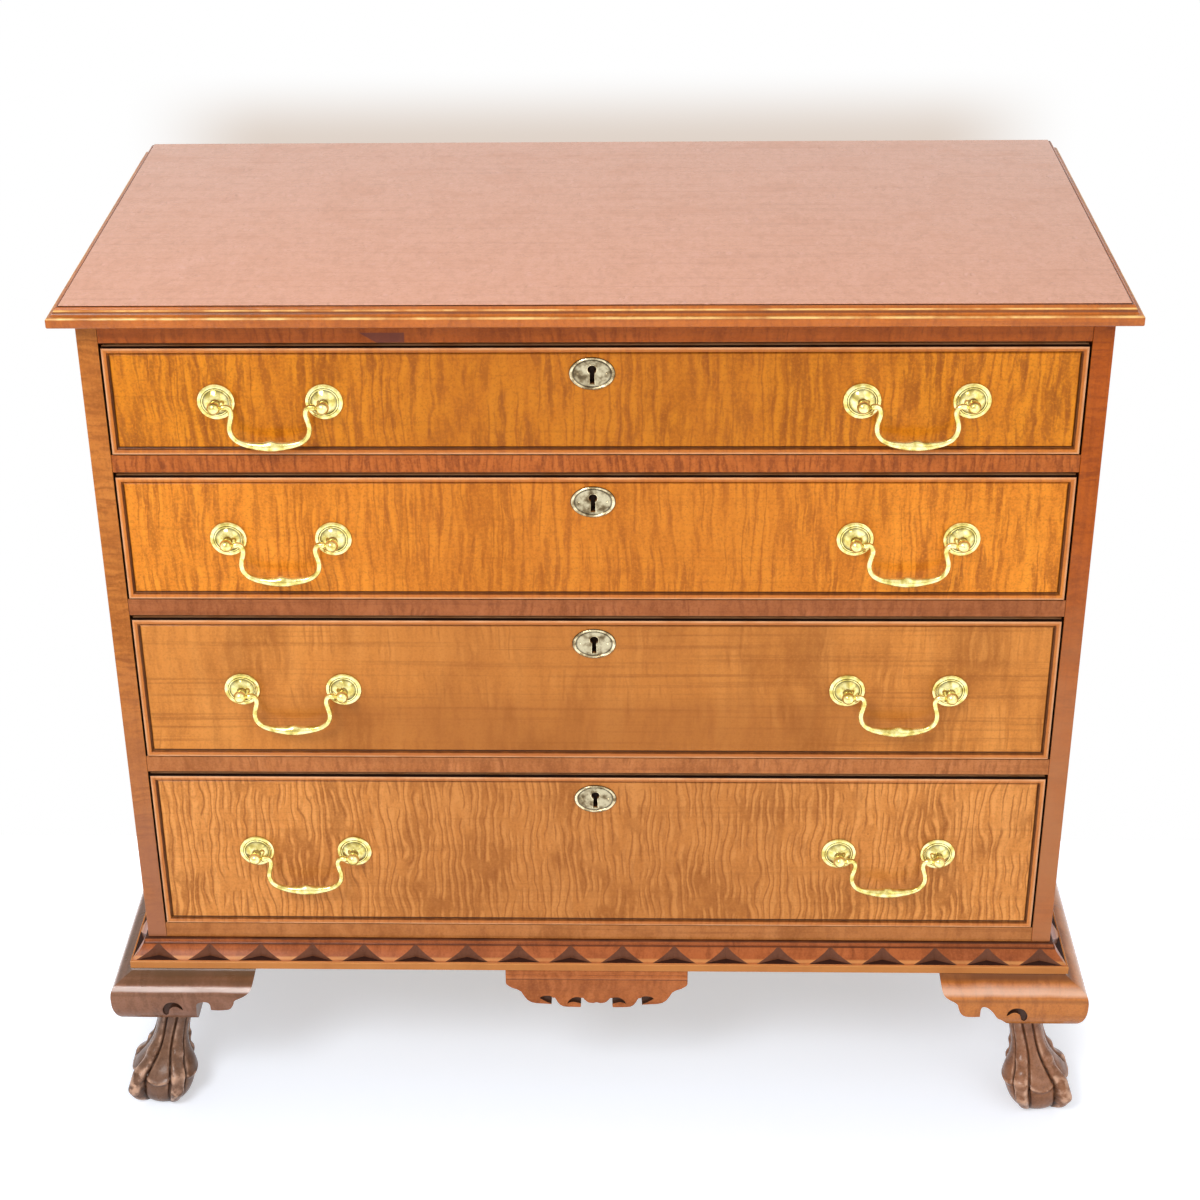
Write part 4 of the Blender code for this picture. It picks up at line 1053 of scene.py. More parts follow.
def bracket_profile():
    """The bracket's smooth ogee section, outwards and downwards from the foot of the case."""
    rise = BRACKET_REACH - BRACKET_TOP_REACH
    shape = (
        (0.00, 0.000), (0.10, 0.040), (0.28, 0.082), (0.50, 0.122), (0.70, 0.162), (0.86, 0.212),
        (0.955, 0.285), (1.00, 0.390), (1.00, 0.500), (0.975, 0.625), (0.91, 0.740), (0.80, 0.845),
        (0.62, 0.935), (0.36, 0.995),
    )
    outside = []
    for out, down in smooth_line(shape, 6):
        outside.append((BRACKET_TOP_REACH + rise * min(1.0, out), -BRACKET_HEIGHT * down))
    foot = [(0.5 * BRACKET_TOP_REACH, -BRACKET_HEIGHT), (-BRACKET_BACK, -BRACKET_HEIGHT)]
    return [(-BRACKET_BACK, 0.0), *outside, *foot]


def on_bracket(points, steps, shift=0.0):
    """A smooth line from shares of the leg, moved inwards by a share, and of the bracket's height."""
    return [(BRACKET_LEG * (along + shift), BRACKET_HEIGHT * up) for along, up in smooth_line(points, steps)]


def scroll_lines(side):
    """The sawn scroll at a bracket's inner end, from its foot inwards and upwards: arch, then lobe and tail.

    Its shapes are shares of the leg from the case's corner, and of the bracket's height. The two
    brackets were sawn by eye, and differ.
    """
    if side > 0:
        arch = (
            (0.350, 0.0), (0.382, 0.10), (0.425, 0.20), (0.470, 0.262), (0.510, 0.392), (0.556, 0.496),
            (0.598, 0.538), (0.624, 0.520), (0.632, 0.450),
        )
        lobe = (
            (0.632, 0.304), (0.690, 0.294), (0.757, 0.304), (0.801, 0.364), (0.831, 0.491), (0.850, 0.598),
        )
        tail = ((0.916, 0.679), (0.965, 0.750), (0.990, 0.860), (1.0, 1.04))
    else:
        arch = (
            (0.436, 0.0), (0.439, 0.20), (0.445, 0.35), (0.450, 0.458), (0.472, 0.505), (0.521, 0.526),
            (0.562, 0.508), (0.578, 0.450),
        )
        lobe = (
            (0.580, 0.338), (0.640, 0.330), (0.707, 0.338), (0.756, 0.367), (0.790, 0.464), (0.803, 0.551),
        )
        tail = ((0.844, 0.601), (0.910, 0.673), (0.965, 0.790), (1.0, 1.04))
    arch, lobe, tail = (on_bracket(shape, 4) for shape in (arch, lobe + tail[:1], tail))
    return [(arch[0][0], -0.003)] + arch, lobe[:-1], tail


def gouge_outline(shift):
    """A bracket's comma-shaped gouge, thick by the corner and thin at its tip, moved inwards by a share."""
    outer = (
        (0.230, 0.187), (0.211, 0.216), (0.202, 0.310), (0.213, 0.397), (0.244, 0.483), (0.294, 0.515),
        (0.342, 0.499), (0.380, 0.429), (0.393, 0.324),
    )
    inner = (
        (0.370, 0.359), (0.344, 0.403), (0.310, 0.413), (0.281, 0.378), (0.265, 0.326), (0.253, 0.234),
    )
    return on_bracket(outer, 3, shift) + on_bracket(inner, 3, shift)


def bracket_mesh(name, side):
    """A leg along the front mitred to a run along the side, before the scrolls are sawn."""
    profile = bracket_profile()
    leg = [(-side * (BRACKET_LEG + 0.01), -out, up) for out, up in profile]
    corner = [(side * out, -out, up) for out, up in profile]
    run = [(side * out, CASE_DEPTH, up) for out, up in profile]
    return lofted(name, [leg, corner, run])


def build_brackets():
    """The ogee bracket base of each side, its lower edge sawn to scrolls and its gouge cut, with level bands
    of painted shade and a painted highlight.
    """
    top = BRACKET_HIGH.z
    # Gouge floors painted dark with shade and stain
    gouged = wood_material("gouge_floor", GOUGE_SHADE_AND_STAIN_TINTS, PLAIN_FIGURE, GRAIN_ALONG, SATIN, 52.0)
    far = BRACKET_LEG + 0.03
    through = 2 * BRACKET_REACH + 0.02
    for label, side, seed, shift in (("left", -1, 50.0, -0.072), ("right", 1, 51.0, 0.0)):
        name = f"ogee_bracket_{label}"
        arch, lobe, tail = scroll_lines(side)
        front_waste = arch + lobe + tail + [(far, tail[-1][1]), (far, arch[0][1])]
        side_waste = arch + lobe + [tail[0]]
        side_waste += [(CASE_DEPTH - REAR_FOOT_SETBACK - x, y) for x, y in reversed(side_waste)]
        # Painted shade and a painted highlight in level bands
        bands = tuple(
            (top - low, top - high, soft, share, color[label])
            for low, high, soft, share, color in BRACKET_BANDS[label]
        )
        face = wood_material(
            name + "_maple", BRACKET_TINTS[label], BASE_FIGURE, GRAIN_ALONG, GLOSSY, seed, bands=bands
        )
        stock = bracket_mesh(name, side)
        stock.materials.append(face)
        inwards = flipped(-side)
        foot = at(0, 0, -BRACKET_HEIGHT)
        front = outline_mesh(name, front_waste, through)
        front.transform(foot @ inwards @ UPRIGHT)
        along = outline_mesh(name, side_waste, through)
        along.transform(foot @ QUARTER_TURN @ UPRIGHT)
        comma = outline_mesh(name, gouge_outline(shift), 2 * GOUGE_DEPTH)
        comma.transform(foot @ at(0, -BRACKET_REACH, 0) @ inwards @ UPRIGHT)
        if side > 0:
            front.flip_normals()
            comma.flip_normals()
        for tool, material in ((front, face), (along, face), (comma, gouged)):
            tool.materials.append(material)
        carved = carve(stock, [front, along, comma])
        carved.transform(at(side * CASE_HALF, FRONT_Y, BRACKET_HIGH.z))
        add_piece(name, carved, None, "case", [f"bracket_base_{label}"])


def foot_curve(rise, table):
    """A smooth value at each rise from a short table of rises and values."""
    fine = np.array(smooth_line(table, 8))
    return np.interp(rise, fine[:, 0], fine[:, 1])


def claw_surface():
    """The carved claw foot as a reach outwards over the turn and the rise.

    A ball swells out of a slim ankle, a web of skin ends in a soft ridge over it, and four talons
    with three knuckles each run down it: the longest at the corner, a short spur at the heel.
    """
    turn = np.linspace(0, 2 * np.pi, FOOT_AROUND, endpoint=False)[None, :]
    rise = np.linspace(0, 1, FOOT_UPWARDS)[:, None]
    side_turn = math.radians(SIDE_TALON_TURN)
    talons = ((0.0, 1.0), (-side_turn, 0.88), (side_turn, 0.88), (math.pi, 0.62))
    offsets = [np.abs((turn - place + np.pi) % (2 * np.pi) - np.pi) for place, _ in talons]
    between = np.clip(np.minimum.reduce(offsets) / math.radians(38), 0, 1)
    height = np.abs(rise * CLAW_HEIGHT - BALL_MIDDLE) / 0.043
    ball = BALL_RADIUS * np.clip(1 - height ** 2.6, 0, 1) ** (1 / 2.6)
    web = foot_curve(rise, (
        (0.0, 0.0250), (0.12, 0.0330), (0.20, 0.0365), (0.27, 0.0382), (0.34, 0.0348), (0.42, 0.0285),
        (0.50, 0.0236), (0.60, 0.0202), (0.72, 0.0192), (0.86, 0.0190), (1.0, 0.0190),
    ))
    edge = 0.24 + 0.08 * (1 - between) ** 1.5
    web = web + 0.0013 * np.exp(-(((rise - edge - 0.025) / 0.018) ** 2))
    fall = 1 / (1 + np.exp(-(rise - edge) / 0.005))
    heel = HEEL_FLATNESS * np.clip(-np.cos(turn), 0, 1) ** 1.2 * np.clip((0.95 - rise) * 4, 0, 1)
    body = (ball + (web - ball) * fall) * (1 - heel)
    reach = foot_curve(rise, (
        (0.0, 0.0300), (0.05, 0.0405), (0.14, 0.0485), (0.20, 0.0495), (0.26, 0.0485), (0.32, 0.0440),
        (0.40, 0.0350), (0.48, 0.0293), (0.56, 0.0248), (0.66, 0.0222), (0.80, 0.0212), (1.0, 0.0200),
    ))
    for knuckle, swell in ((0.18, 0.0014), (0.34, 0.0028), (0.50, 0.0026)):
        reach = reach + swell * np.exp(-(((rise - knuckle) / 0.042) ** 2))
    width = foot_curve(rise, (
        (0.0, 0.0040), (0.08, 0.0060), (0.17, 0.0080), (0.24, 0.0078), (0.32, 0.0086), (0.42, 0.0074),
        (0.50, 0.0074), (0.60, 0.0062), (0.72, 0.0055), (0.85, 0.0050), (1.0, 0.0045),
    ))
    surface = body
    groove = 0.0
    grown = np.clip((rise - 0.25) / 0.5, 0, 1)
    for offset, (_, share) in zip(offsets, talons):
        own = np.maximum(reach * (share + (1 - share) * grown), body + 0.001)
        side = offset * 0.5 * (body + own)
        crown = np.sqrt(np.clip(1 - (side / width) ** 2, 0, 1))
        surface = np.where(side < width, np.maximum(surface, body + (own - body) * crown ** 0.8), surface)
        groove = np.maximum(groove, 0.0022 * np.exp(-(((side - width - 0.0009) / 0.0014) ** 2)))
    groove = groove * np.clip((rise - 0.06) * 6, 0, 1) * np.clip((1.0 - rise) * 8, 0, 1)
    return turn, rise, surface - groove


def carved_shade(reach):
    """How hollow and how ridged each point of a carved surface is, against its surroundings."""
    around = reach.copy()
    for _ in range(3):
        spread = around.copy()
        for shift in (1, 2, 3):
            spread += np.roll(around, shift, axis=1) + np.roll(around, -shift, axis=1)
            padded = np.pad(around, ((shift, shift), (0, 0)), mode="edge")
            spread += padded[2 * shift:] + padded[:-2 * shift]
        around = spread / 13
    difference = reach - around
    return np.clip(-difference / 0.0011, 0, 1), np.clip(difference / 0.0010, 0, 1)


def claw_mesh(name):
    """The claw foot turned out along +X about the middle of its sole, with its square block above."""
    turn, rise, reach = claw_surface()
    hollow, ridge = carved_shade(reach)
    inward = FOOT_LEAN * rise ** 1.35
    x = reach * np.cos(turn) - inward
    y = reach * np.sin(turn)
    rings = []
    for i in range(FOOT_UPWARDS):
        height = rise[i, 0] * CLAW_HEIGHT
        rings.append([(x[i, j], y[i, j], height) for j in range(FOOT_AROUND)])
    block = []
    for angle in turn[0]:
        across = (math.cos(angle) - math.sin(angle)) / math.sqrt(2)
        deep = (math.cos(angle) + math.sin(angle)) / math.sqrt(2)
        scale = BLOCK_HALF / max(abs(across), abs(deep))
        block.append((math.cos(angle) * scale - FOOT_LEAN, math.sin(angle) * scale))
    for height in (CLAW_HEIGHT, BRACKET_HIGH.z - 0.0003):
        rings.append([(px, py, height) for px, py in block])
    mesh = lofted(name, rings)
    plain = np.zeros(2 * FOOT_AROUND)
    mark(mesh, "hollow", np.concatenate([hollow.ravel(), plain]))
    mark(mesh, "ridge", np.concatenate([ridge.ravel(), plain]))
    return mesh


def build_claws():
    """The four claw feet, each turned out along its own corner of the chest."""
    ends = (("front", -1, FRONT_Y + SOLE_INSET), ("rear", 1, BACK_Y - REAR_FOOT_SETBACK))
    for label, side in SIDES.items():
        wood = claw_material(f"claw_maple_{label}", CLAW_TINTS[label], 60.0 + side)
        for end, outward, depth in ends:
            name = f"carved_claw_{end}_{label}"
            mesh = claw_mesh(name)
            turn = Matrix.Rotation(math.atan2(outward, side), 4, "Z")
            mesh.transform(at(side * (CASE_HALF - SOLE_INSET), depth, 0) @ turn)
            add_piece(name, mesh, wood, "case", [f"claw_foot_{end}_{label}"])


# The pendant's two gouges on each side: place, size, and their back and lower edge as shares of it
PENDANT_LEAVES = (
    (0.0472, -0.0456, 0.0138, 0.0110, ((0.0, 0.80), (0.15, 0.97), (0.45, 1.0), (0.78, 0.92), (1.0, 0.70)),
     ((1.0, 0.70), (0.75, 0.50), (0.45, 0.24), (0.0, 0.0))),
    (0.0158, -0.0462, 0.0158, 0.0100, ((0.0, 0.88), (0.25, 1.0), (0.55, 0.93), (0.82, 0.62), (1.0, 0.10)),
     ((1.0, 0.10), (0.80, 0.28), (0.50, 0.34), (0.0, 0.10))),
)


def pendant_outline():
    """The pendant's outline: steps at its ends, then two slits and three lobes on each side."""
    low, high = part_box("pendant")
    half_width, drop = high.x, high.z - low.z
    half = (
        (1.0, 0.0), (1.0, 0.37), (0.992, 0.41), (0.974, 0.442), (0.938, 0.491), (0.87, 0.545), (0.832, 0.60),
        (0.803, 0.71), (0.767, 0.815), (0.725, 0.875), (0.67, 0.905), (0.58, 0.915), (0.499, 0.925),
        (0.494, 0.78), (0.488, 0.755), (0.462, 0.755), (0.452, 0.79), (0.43, 0.876), (0.405, 0.94),
        (0.373, 0.98), (0.32, 0.995), (0.183, 1.0), (0.174, 0.985), (0.171, 0.775), (0.165, 0.755),
        (0.148, 0.755), (0.138, 0.79), (0.11, 0.85), (0.088, 0.878), (0.041, 0.892),
    )
    right = [(half_width * x, -drop * y) for x, y in half]
    return right + [(0.0, -drop * 0.868)] + [(-x, y) for x, y in reversed(right)]


def leaf_outline(back, edge, width, height):
    """A pendant's gouge from its slit outwards: a round back, and the edge below it."""
    around = smooth_line(back, 4) + smooth_line(edge, 4)[1:]
    return [(x * width, y * height) for x, y in around]


def build_pendant():
    """The scroll-cut pendant, with a reeded band along its top and four gouges by its slits."""
    low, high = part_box("pendant")
    depth = high.y - low.y
    # Painted shade with some dirt at the joint under the moulding, by the groove between the reeds and under
    # the band, and a painted highlight on the lower reed
    bands = [
        (high.z - bottom, high.z - top, soft, share, color)
        for bottom, top, soft, share, color in (
            (0.0008, -0.0100, 0.0003, 0.80, SUNK_SHADE_AND_DIRT), (0.0066, 0.0060, 0.0004, 0.45, SUNK_SHADE_AND_DIRT),
            (0.0112, 0.0092, 0.0005, 0.50, PENDANT_TINTS[0]), (0.0136, 0.0126, 0.0004, 0.75, SUNK_SHADE_AND_DIRT),
        )
    ]
    wood = wood_material("pendant_maple", PENDANT_TINTS, BASE_FIGURE, GRAIN_ALONG, SATIN, 55.0, bands=bands)
    # Gouge floors painted dark with shade and stain
    dark = wood_material("pendant_gouge_floor", GOUGE_SHADE_AND_STAIN_TINTS, PLAIN_FIGURE, GRAIN_ALONG, SATIN)
    stock = outline_mesh("scroll_pendant", pendant_outline(), depth, 0.0007)
    stock.materials.append(wood)
    tools = []
    for side in (-1, 1):
        for out, up, width, height, back, edge in PENDANT_LEAVES:
            comma = outline_mesh("comma", leaf_outline(back, edge, width, height), 0.006)
            comma.transform(flipped(side) @ at(out, up, depth / 2))
            if side < 0:
                comma.flip_normals()
            comma.materials.append(dark)
            tools.append(comma)
    carved = carve(stock, tools)
    carved.transform(at(0, (low.y + high.y) / 2, high.z) @ UPRIGHT)
    add_piece("scroll_pendant", carved, None, "case", ["pendant"])
    reeds = [(0.0, -0.0005), (0.0010, -0.0020), (0.0012, -0.0060), (0.0004, -0.0072), (0.0012, -0.0084)]
    reeds += [(0.0014, -0.0105), (0.0010, -0.0122), (0.0, -0.0132)]
    rings = [[(x, low.y - out, high.z + up) for out, up in reeds] for x in (low.x + 0.0004, high.x - 0.0004)]
    add_piece("pendant_band", lofted("pendant_band", rings), wood, "case")


# Drawers
def keyhole_outline(radius, slot_half, drop):
    """A keyhole about its eye's middle: a round eye over a slot."""
    return arc((0, 0), radius, -58, 238, 20) + [(-slot_half, -drop), (slot_half, -drop)]


def front_rings(low, high):
    """Rings of a drawer's front from its back edge round the bead to its field."""
    face = low.y + BEAD_PROUD
    half = BEAD_WIDTH / 2
    profile = [(0.0, high.y), (0.0, face - BEAD_PROUD * 0.45)]
    for angle in (12, 25, 40, 55, 75, 95, 115, 132, 146, 158):
        turn = math.radians(angle)
        profile.append((half - half * math.cos(turn), face - BEAD_PROUD * (0.45 + 0.55 * math.sin(turn))))
    profile += [(BEAD_WIDTH, face + QUIRK_DEPTH * 0.7), (BEAD_WIDTH + BEAD_QUIRK * 0.35, face + QUIRK_DEPTH)]
    profile += [(BEAD_WIDTH + BEAD_QUIRK, face + 0.0003), (BEAD_WIDTH + BEAD_QUIRK + 0.0004, face)]
    rings = []
    for inset, y in profile:
        corners = ((low.x, low.z), (high.x, low.z), (high.x, high.z), (low.x, high.z))
        signs = ((1, 1), (-1, 1), (-1, -1), (1, -1))
        rings.append([(x + inset * sx, y, z + inset * sz) for (x, z), (sx, sz) in zip(corners, signs)])
    return rings


def build_drawer_front(number):
    """A drawer's front with its bead, its keyhole and the laps that its sides fit into."""
    node = f"drawer_{number}_front"
    low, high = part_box(node)
    plate_low, plate_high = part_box(f"escutcheon_{number}")
    wood = front_material(node + "_maple", number, (low, high))
    box_low, box_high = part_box(f"drawer_{number}_box")
    stock = lofted(node, front_rings(low, high))
    stock.materials.append(wood)
    tools = []
    for side in (-1, 1):
        work = bmesh.new()
        middle = at(side * (box_high.x - LAP_WIDTH / 2 + 0.01), box_low.y + 0.03, (low.z + high.z) / 2)
        size = Matrix.Diagonal((LAP_WIDTH + 0.02, 0.06, 0.4, 1.0))
        bmesh.ops.create_cube(work, size=1.0, matrix=middle @ size)
        lap = mesh_from(work, "lap")
        lap.materials.append(wood)
        tools.append(lap)
    keyhole = outline_mesh("keyhole", keyhole_outline(0.0040, 0.0022, 0.0142), 0.020)
    keyhole.transform(at(0, FRONT_Y, (plate_low.z + plate_high.z) / 2 + EYE_RISE) @ UPRIGHT)
    # The keyhole's walls take the painted shade
    keyhole.materials.append(KEYHOLE_SHADE)
    carved = carve(stock, [*tools, keyhole])
    add_piece(f"beaded_front_{number}", carved, None, f"drawer_{number}", [node])


def finish_drawer_box(number):
    """Wood for a drawer's box and bottom board."""
    for part, turn in (("box", GRAIN_DEEP), ("bottom", GRAIN_ALONG)):
        name = f"drawer_{number}_{part}"
        box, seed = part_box(name), 70.0 + number
        wood = wood_material(name + "_poplar", POPLAR_TINTS, POPLAR_FIGURE, turn, BARE, seed, box)
        finish_board(name, wood, 0.0006)


# Fittings
def lathe(name, profile, steps):
    """A turned piece about Z from radius and height pairs, with its hollows marked."""
    turns = [2 * math.pi * i / steps for i in range(steps)]
    rings = []
    for radius, height in profile:
        rings.append([(radius * math.cos(turn), radius * math.sin(turn), height) for turn in turns])
    mesh = lofted(name, rings)
    marks = []
    for index in range(len(profile)):
        around = profile[max(0, index - 2):index + 3]
        mean = sum(height for _, height in around) / len(around)
        marks.append(min(1.0, max(0.0, (mean - profile[index][1]) / 0.0003)))
    mark(mesh, "hollow", np.repeat(marks, steps))
    return mesh


def rosette_profile():
    """The rosette, its rings and dome, and the ball-ended post, as radius and height from the face."""
    rim = ROSETTE_RADIUS
    turned = (
        (0.985, 0.0003), (1.0, 0.0007), (1.0, 0.0013), (0.985, 0.0018), (0.95, 0.0021), (0.84, 0.0025),
        (0.81, 0.0025), (0.795, 0.0020), (0.780, 0.0020), (0.765, 0.0026), (0.73, 0.0028), (0.71, 0.0028),
        (0.695, 0.0023),
    )
    points = [(rim * share, height) for share, height in turned]
    for share in (0.0, 0.12, 0.25, 0.38, 0.50, 0.61):
        points.append((rim * 0.68 * (1 - share), 0.0024 + 0.0046 * (1 - (1 - share) ** 2)))
    points += [(0.0044, 0.0068), (0.0040, 0.0078), (0.0039, 0.0088), (0.0046, 0.0097)]
    start = math.degrees(math.asin(0.0046 / POST_BALL))
    for step in range(13):
        angle = math.radians(start + (179 - start) * step / 12)
        points.append((POST_BALL * math.sin(angle), POST_REACH - POST_BALL * math.cos(angle)))
    return points


def bail_line():
    """The bail's centre line from its right pin to its left, with the wire's radius at each point."""
    pins = ((0.0036, 0.0, 0.0015), (0.0062, 0.0, 0.0016))
    neck = (
        (0.0076, 0.0002, 1.10), (0.0098, 0.0006, 1.15), (0.0125, 0.0006, 1.0), (0.0150, -0.0016, 1.0),
        (0.0162, -0.0062, 1.0), (0.0150, -0.0120, 1.0), (0.0137, -0.0170, 1.0), (0.0134, -0.0222, 1.0),
        (0.0148, -0.0278, 1.0), (0.0192, -0.0332, 1.0), (0.0268, -0.0368, 1.15), (0.0365, -0.0385, 1.50),
        (0.0445, -BAIL_DROP, 1.78), (PULL_BORING / 2, -BAIL_DROP, 1.92),
    )
    right = [*pins, *((inset, z, BAIL_WIRE * swell) for inset, z, swell in neck)]
    right = [(PULL_BORING / 2 - inset, z, radius) for inset, z, radius in right]
    points = right + [(-x, z, radius) for x, z, radius in reversed(right[:-1])]
    return smooth_line(points, 6)


def bail_mesh(name):
    """The swan-neck bail about the line of its pins, its grip swelled with a small peak on top."""
    line = bail_line()
    rings = []
    for index, (x, z, radius) in enumerate(line):
        before, after = line[max(0, index - 1)], line[min(len(line) - 1, index + 1)]
        along = Vector((after[0] - before[0], 0.0, after[1] - before[1])).normalized()
        up = Vector((along.z, 0.0, -along.x))
        peak = 0.0013 * math.exp(-((x / 0.0052) ** 2)) if z < -0.03 else 0.0
        ring = []
        for i in range(WIRE_AROUND):
            angle = 2 * math.pi * i / WIRE_AROUND
            rise = radius * math.sin(angle) + peak * max(0.0, math.sin(angle)) ** 3
            ring.append(Vector((x, 0.0, z)) + up * rise + Vector((0.0, radius * math.cos(angle), 0.0)))
        rings.append(ring)
    return lofted(name, rings)


def build_pull(number, label):
    """One pull: its two turned rosettes with posts, and its bail on the pins between them."""
    body = f"drawer_{number}"
    bail_node = f"{body}_{label}_bail"
    low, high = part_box(f"{body}_front")
    middle_x = SIDES[label] * PULL_FROM_MIDDLE
    middle_z = (low.z + high.z) / 2
    for end, side in SIDES.items():
        name = f"rosette_{number}_{label}_{end}"
        mesh = lathe(name, rosette_profile(), 48)
        mesh.transform(at(middle_x + side * PULL_BORING / 2, FRONT_Y, middle_z) @ UPRIGHT)
        add_piece(name, mesh, BRASS, body, [f"{body}_{label}_post_{end}"])
    name = f"swan_bail_{number}_{label}"
    mesh = bail_mesh(name)
    mesh.transform(at(middle_x, FRONT_Y - POST_REACH, middle_z))
    add_piece(name, mesh, BRASS, bail_node, [bail_node])


def plate_surface():
    """The escutcheon's rings, from a share of its radius and a height each: rope rim and dished field."""
    profile = (
        (1.0, 0.0003), (0.998, 0.0009), (0.985, 0.0014), (0.96, 0.0018), (0.93, 0.0020), (0.90, 0.0019),
        (0.87, 0.0016), (0.845, 0.0010), (0.82, 0.0007), (0.80, 0.0008), (0.76, 0.0009), (0.70, 0.0010),
        (0.62, 0.0011), (0.54, 0.0012), (0.46, 0.0012),
    )
    rings = []
    for share, height in profile:
        ring = []
        rope = ROPE_DEPTH if 0.86 < share < 0.99 else 0.0
        for i in range(PLATE_AROUND):
            angle = 2 * math.pi * i / PLATE_AROUND
            x = PLATE_HALF_WIDTH * share * math.cos(angle)
            y = PLATE_HALF_HEIGHT * share * math.sin(angle)
            ring.append((x, y, height + rope * math.sin(angle * PLATE_AROUND / 2 + share * 40)))
        rings.append(ring)
    return rings


def mark_plate(plate):
    """Marks a plate's groove as hollow, its outer edge as dark for a painted shadow round the plate, and its
    field as half hollow.
    """
    marks = []
    for vertex in plate.vertices:
        share = math.hypot(vertex.co.x / PLATE_HALF_WIDTH, vertex.co.y / PLATE_HALF_HEIGHT)
        # The outer edge's mark is a painted shadow round the plate
        marks.append(1.0 if 0.79 < share < 0.86 or share > 0.98 else (0.6 if share < 0.79 else 0.0))
    mark(plate, "hollow", marks)


def build_escutcheon(number):
    """The oval plate with its rope rim, its raised keyhole lip and its two pins."""
    node = f"escutcheon_{number}"
    low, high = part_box(node)
    body = f"drawer_{number}"
    outwards = at(0, FRONT_Y, (low.z + high.z) / 2) @ UPRIGHT
    stock = lofted(node, plate_surface())
    opening = keyhole_outline(0.0041, 0.0023, 0.0144)
    hole = outline_mesh("hole", [(x, y + EYE_RISE) for x, y in opening], 0.01)
    for mesh in (stock, hole):
        mesh.materials.append(PLATE)
    plate = carve(stock, [hole])
    mark_plate(plate)
    plate.transform(outwards)
    add_piece(f"rope_edge_plate_{number}", plate, None, body, [node])
    lip = []
    outline = keyhole_outline(0.0046, 0.0028, 0.0149)
    work = bmesh.new()
    count = len(outline)
    for index, (x, y) in enumerate(outline):
        before, after = outline[index - 1], outline[(index + 1) % count]
        along = Vector((after[0] - before[0], after[1] - before[1], 0)).normalized()
        out = Vector((along.y, -along.x, 0))
        ring = []
        for angle in (0, 45, 90, 135, 180, 270):
            across = 0.0005 * math.cos(math.radians(angle))
            up = 0.0012 + 0.0006 * math.sin(math.radians(angle))
            ring.append(Vector((x, y + EYE_RISE, 0)) + out * across + Vector((0, 0, up)))
        lip.append(ring)
    lip.append(lip[0])
    loft(work, lip, capped=False)
    bmesh.ops.remove_doubles(work, verts=work.verts, dist=WELD)
    mesh = mesh_from(work, "keyhole_lip")
    mesh.transform(outwards)
    add_piece(f"keyhole_lip_{number}", mesh, PLATE, body)
    for label, side in SIDES.items():
        pin = lathe("pin", [(0.0011, 0.0006), (0.0011, 0.0013), (0.0008, 0.0017), (0.0003, 0.0019)], 16)
        pin.transform(outwards @ at(side * PIN_FROM_MIDDLE, 0.0, 0.0))
        add_piece(f"plate_pin_{number}_{label}", pin, PLATE, body)


# Stage
def seen_directly(w):
    """1 where the camera, a reflection or a clear piece looks at a surface, and 0 for its light."""
    path = w.node("LightPath", {}).outputs
    return w.most(path["Is Camera Ray"], path["Is Glossy Ray"], path["Is Transmission Ray"])


def stage_material(name):
    """An empty material for the stage, its wiring and its output's surface."""
    material = bpy.data.materials.new(name)
    material.use_nodes = True
    nodes = material.node_tree.nodes
    nodes.remove(nodes["Principled BSDF"])
    return material, Wiring(material.node_tree), nodes["Material Output"].inputs["Surface"]


def add_stage(name, size, matrix, material):
    """A flat square of the stage at a place."""
    work = bmesh.new()
    bmesh.ops.create_grid(work, x_segments=1, y_segments=1, size=size, matrix=matrix)
    mesh = bpy.data.meshes.new(name)
    work.to_mesh(mesh)
    work.free()
    mesh.materials.append(material)
    put_in_scene(name, mesh)


def build_floor():
    """A pale floor that keeps the chest's shadow and shows white elsewhere."""
    material, w, surface = stage_material("studio_floor")
    matt = w.node("BsdfDiffuse", {"Color": FLOOR_COLOR}).outputs[0]
    x, y, _ = w.parts(w.node("TexCoord", {}).outputs["Object"])
    sideways = w.near(x, 0.0, CASE_HALF - 0.02, CASE_HALF + 0.20)
    forwards = w.ramp(y, FRONT_Y - 0.04, FRONT_Y - 0.30)
    glow_level = w.ramp(w.most(sideways, forwards), 0.0, 1.0, FLOOR_GLOW, 1.0)
    strength = w.times(seen_directly(w), glow_level)
    glow = w.node("Emission", {"Color": WHITE, "Strength": strength}).outputs[0]
    w.feed(surface, w.node("AddShader", {0: matt, 1: glow}).outputs[0])
    add_stage("floor", FLOOR_SIZE, at(0, 0, cad_box[0].z), material)


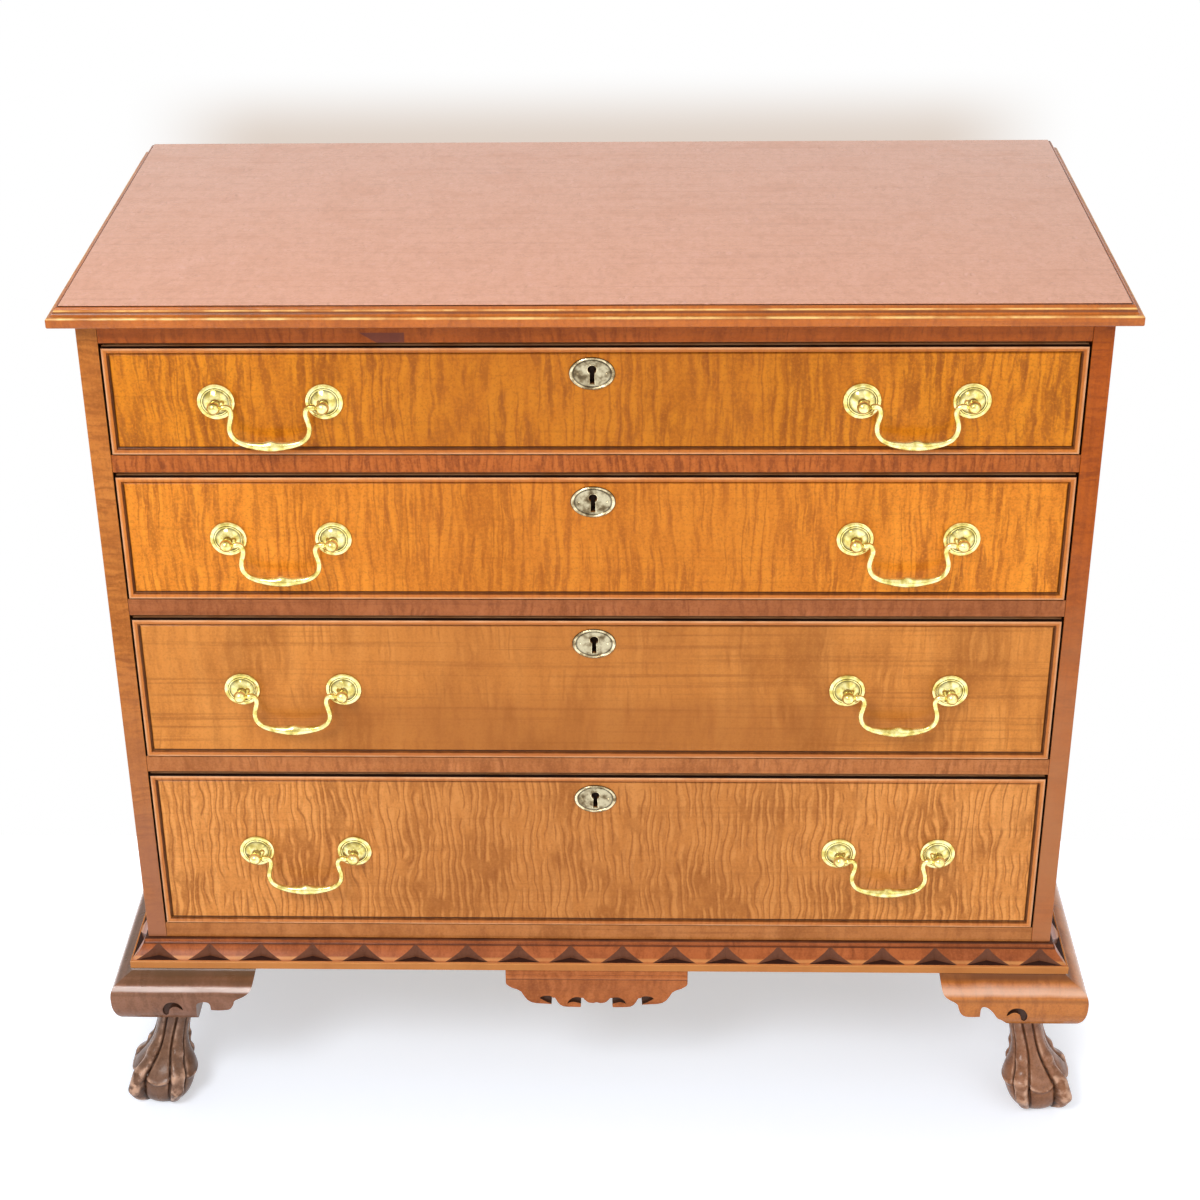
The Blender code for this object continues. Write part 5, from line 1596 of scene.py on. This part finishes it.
def build_wall():
    """A white wall behind, seen from its front only, with the soft shade of the top's back edge."""
    material, w, surface = stage_material("studio_wall")
    x, _, z = w.parts(w.node("TexCoord", {}).outputs["Object"])
    sideways = w.near(x, 0.0, CASE_HALF + 0.05, CASE_HALF - 0.12)
    upwards = w.ramp(z, TOP_HIGH.z + 0.075, TOP_HIGH.z - 0.010)
    color = w.blend(w.times(sideways, upwards, WALL_SHADE), WHITE, WALL_SHADE_COLOR)
    white = w.node("Emission", {"Color": color, "Strength": 1.0}).outputs[0]
    clear = w.node("BsdfTransparent", {}).outputs[0]
    facing = w.minus(1.0, w.node("NewGeometry", {}).outputs["Backfacing"])
    shown = w.times(w.node("LightPath", {}).outputs["Is Camera Ray"], facing)
    w.feed(surface, w.node("MixShader", {0: shown, 1: clear, 2: white}).outputs[0])
    add_stage("wall", WALL_SIZE, at(0, BACK_Y + WALL_GAP, WALL_SIZE) @ UPRIGHT, material)


def build_world():
    """Even white studio light, and plain white where the camera or a reflection looks past the stage."""
    world = bpy.data.worlds.new("studio")
    bpy.context.scene.world = world
    world.use_nodes = True
    w = Wiring(world.node_tree)
    background = world.node_tree.nodes["Background"]
    w.feed(background.inputs["Color"], WHITE)
    w.feed(background.inputs["Strength"], w.ramp(seen_directly(w), 0.0, 1.0, WORLD_LIGHT, 1.0))


def add_lamp(name, place, aim, size, power, mirrored):
    """A square soft lamp at a place, turned to a point, which polished wood may mirror."""
    data = bpy.data.lights.new(name, "AREA")
    data.size = size
    data.energy = power
    lamp = put_in_scene(name, data)
    lamp.location = place
    lamp.rotation_mode = "QUATERNION"
    lamp.rotation_quaternion = (Vector(aim) - Vector(place)).to_track_quat("-Z", "Y")
    lamp.visible_glossy = mirrored


def build_camera():
    """The camera where the photograph was taken from."""
    data = bpy.data.cameras.new("camera")
    data.lens = CAMERA_LENS
    data.sensor_width = 36.0
    data.shift_x = CAMERA_SHIFT
    data.clip_start = 0.05
    data.clip_end = 50.0
    camera = put_in_scene("camera", data)
    turn = Matrix.Rotation(CAMERA_YAW, 4, "Z") @ Matrix.Rotation(CAMERA_PITCH, 4, "X")
    turn = turn @ Matrix.Rotation(CAMERA_ROLL, 4, "Y") @ UPRIGHT
    camera.matrix_world = at(*CAMERA_PLACE) @ turn
    bpy.context.scene.camera = camera


def main():
    """Dresses the whole chest and sets its stage."""
    bpy.context.scene.view_settings.view_transform = "Standard"
    build_camera()
    build_world()
    build_floor()
    build_wall()
    for name, lamp in LAMPS.items():
        add_lamp(name, *lamp)
    build_top()
    finish_case()
    build_base_moulding()
    build_brackets()
    build_claws()
    build_pendant()
    for number in DRAWERS:
        build_drawer_front(number)
        finish_drawer_box(number)
        build_escutcheon(number)
        for label in SIDES:
            build_pull(number, label)


main()
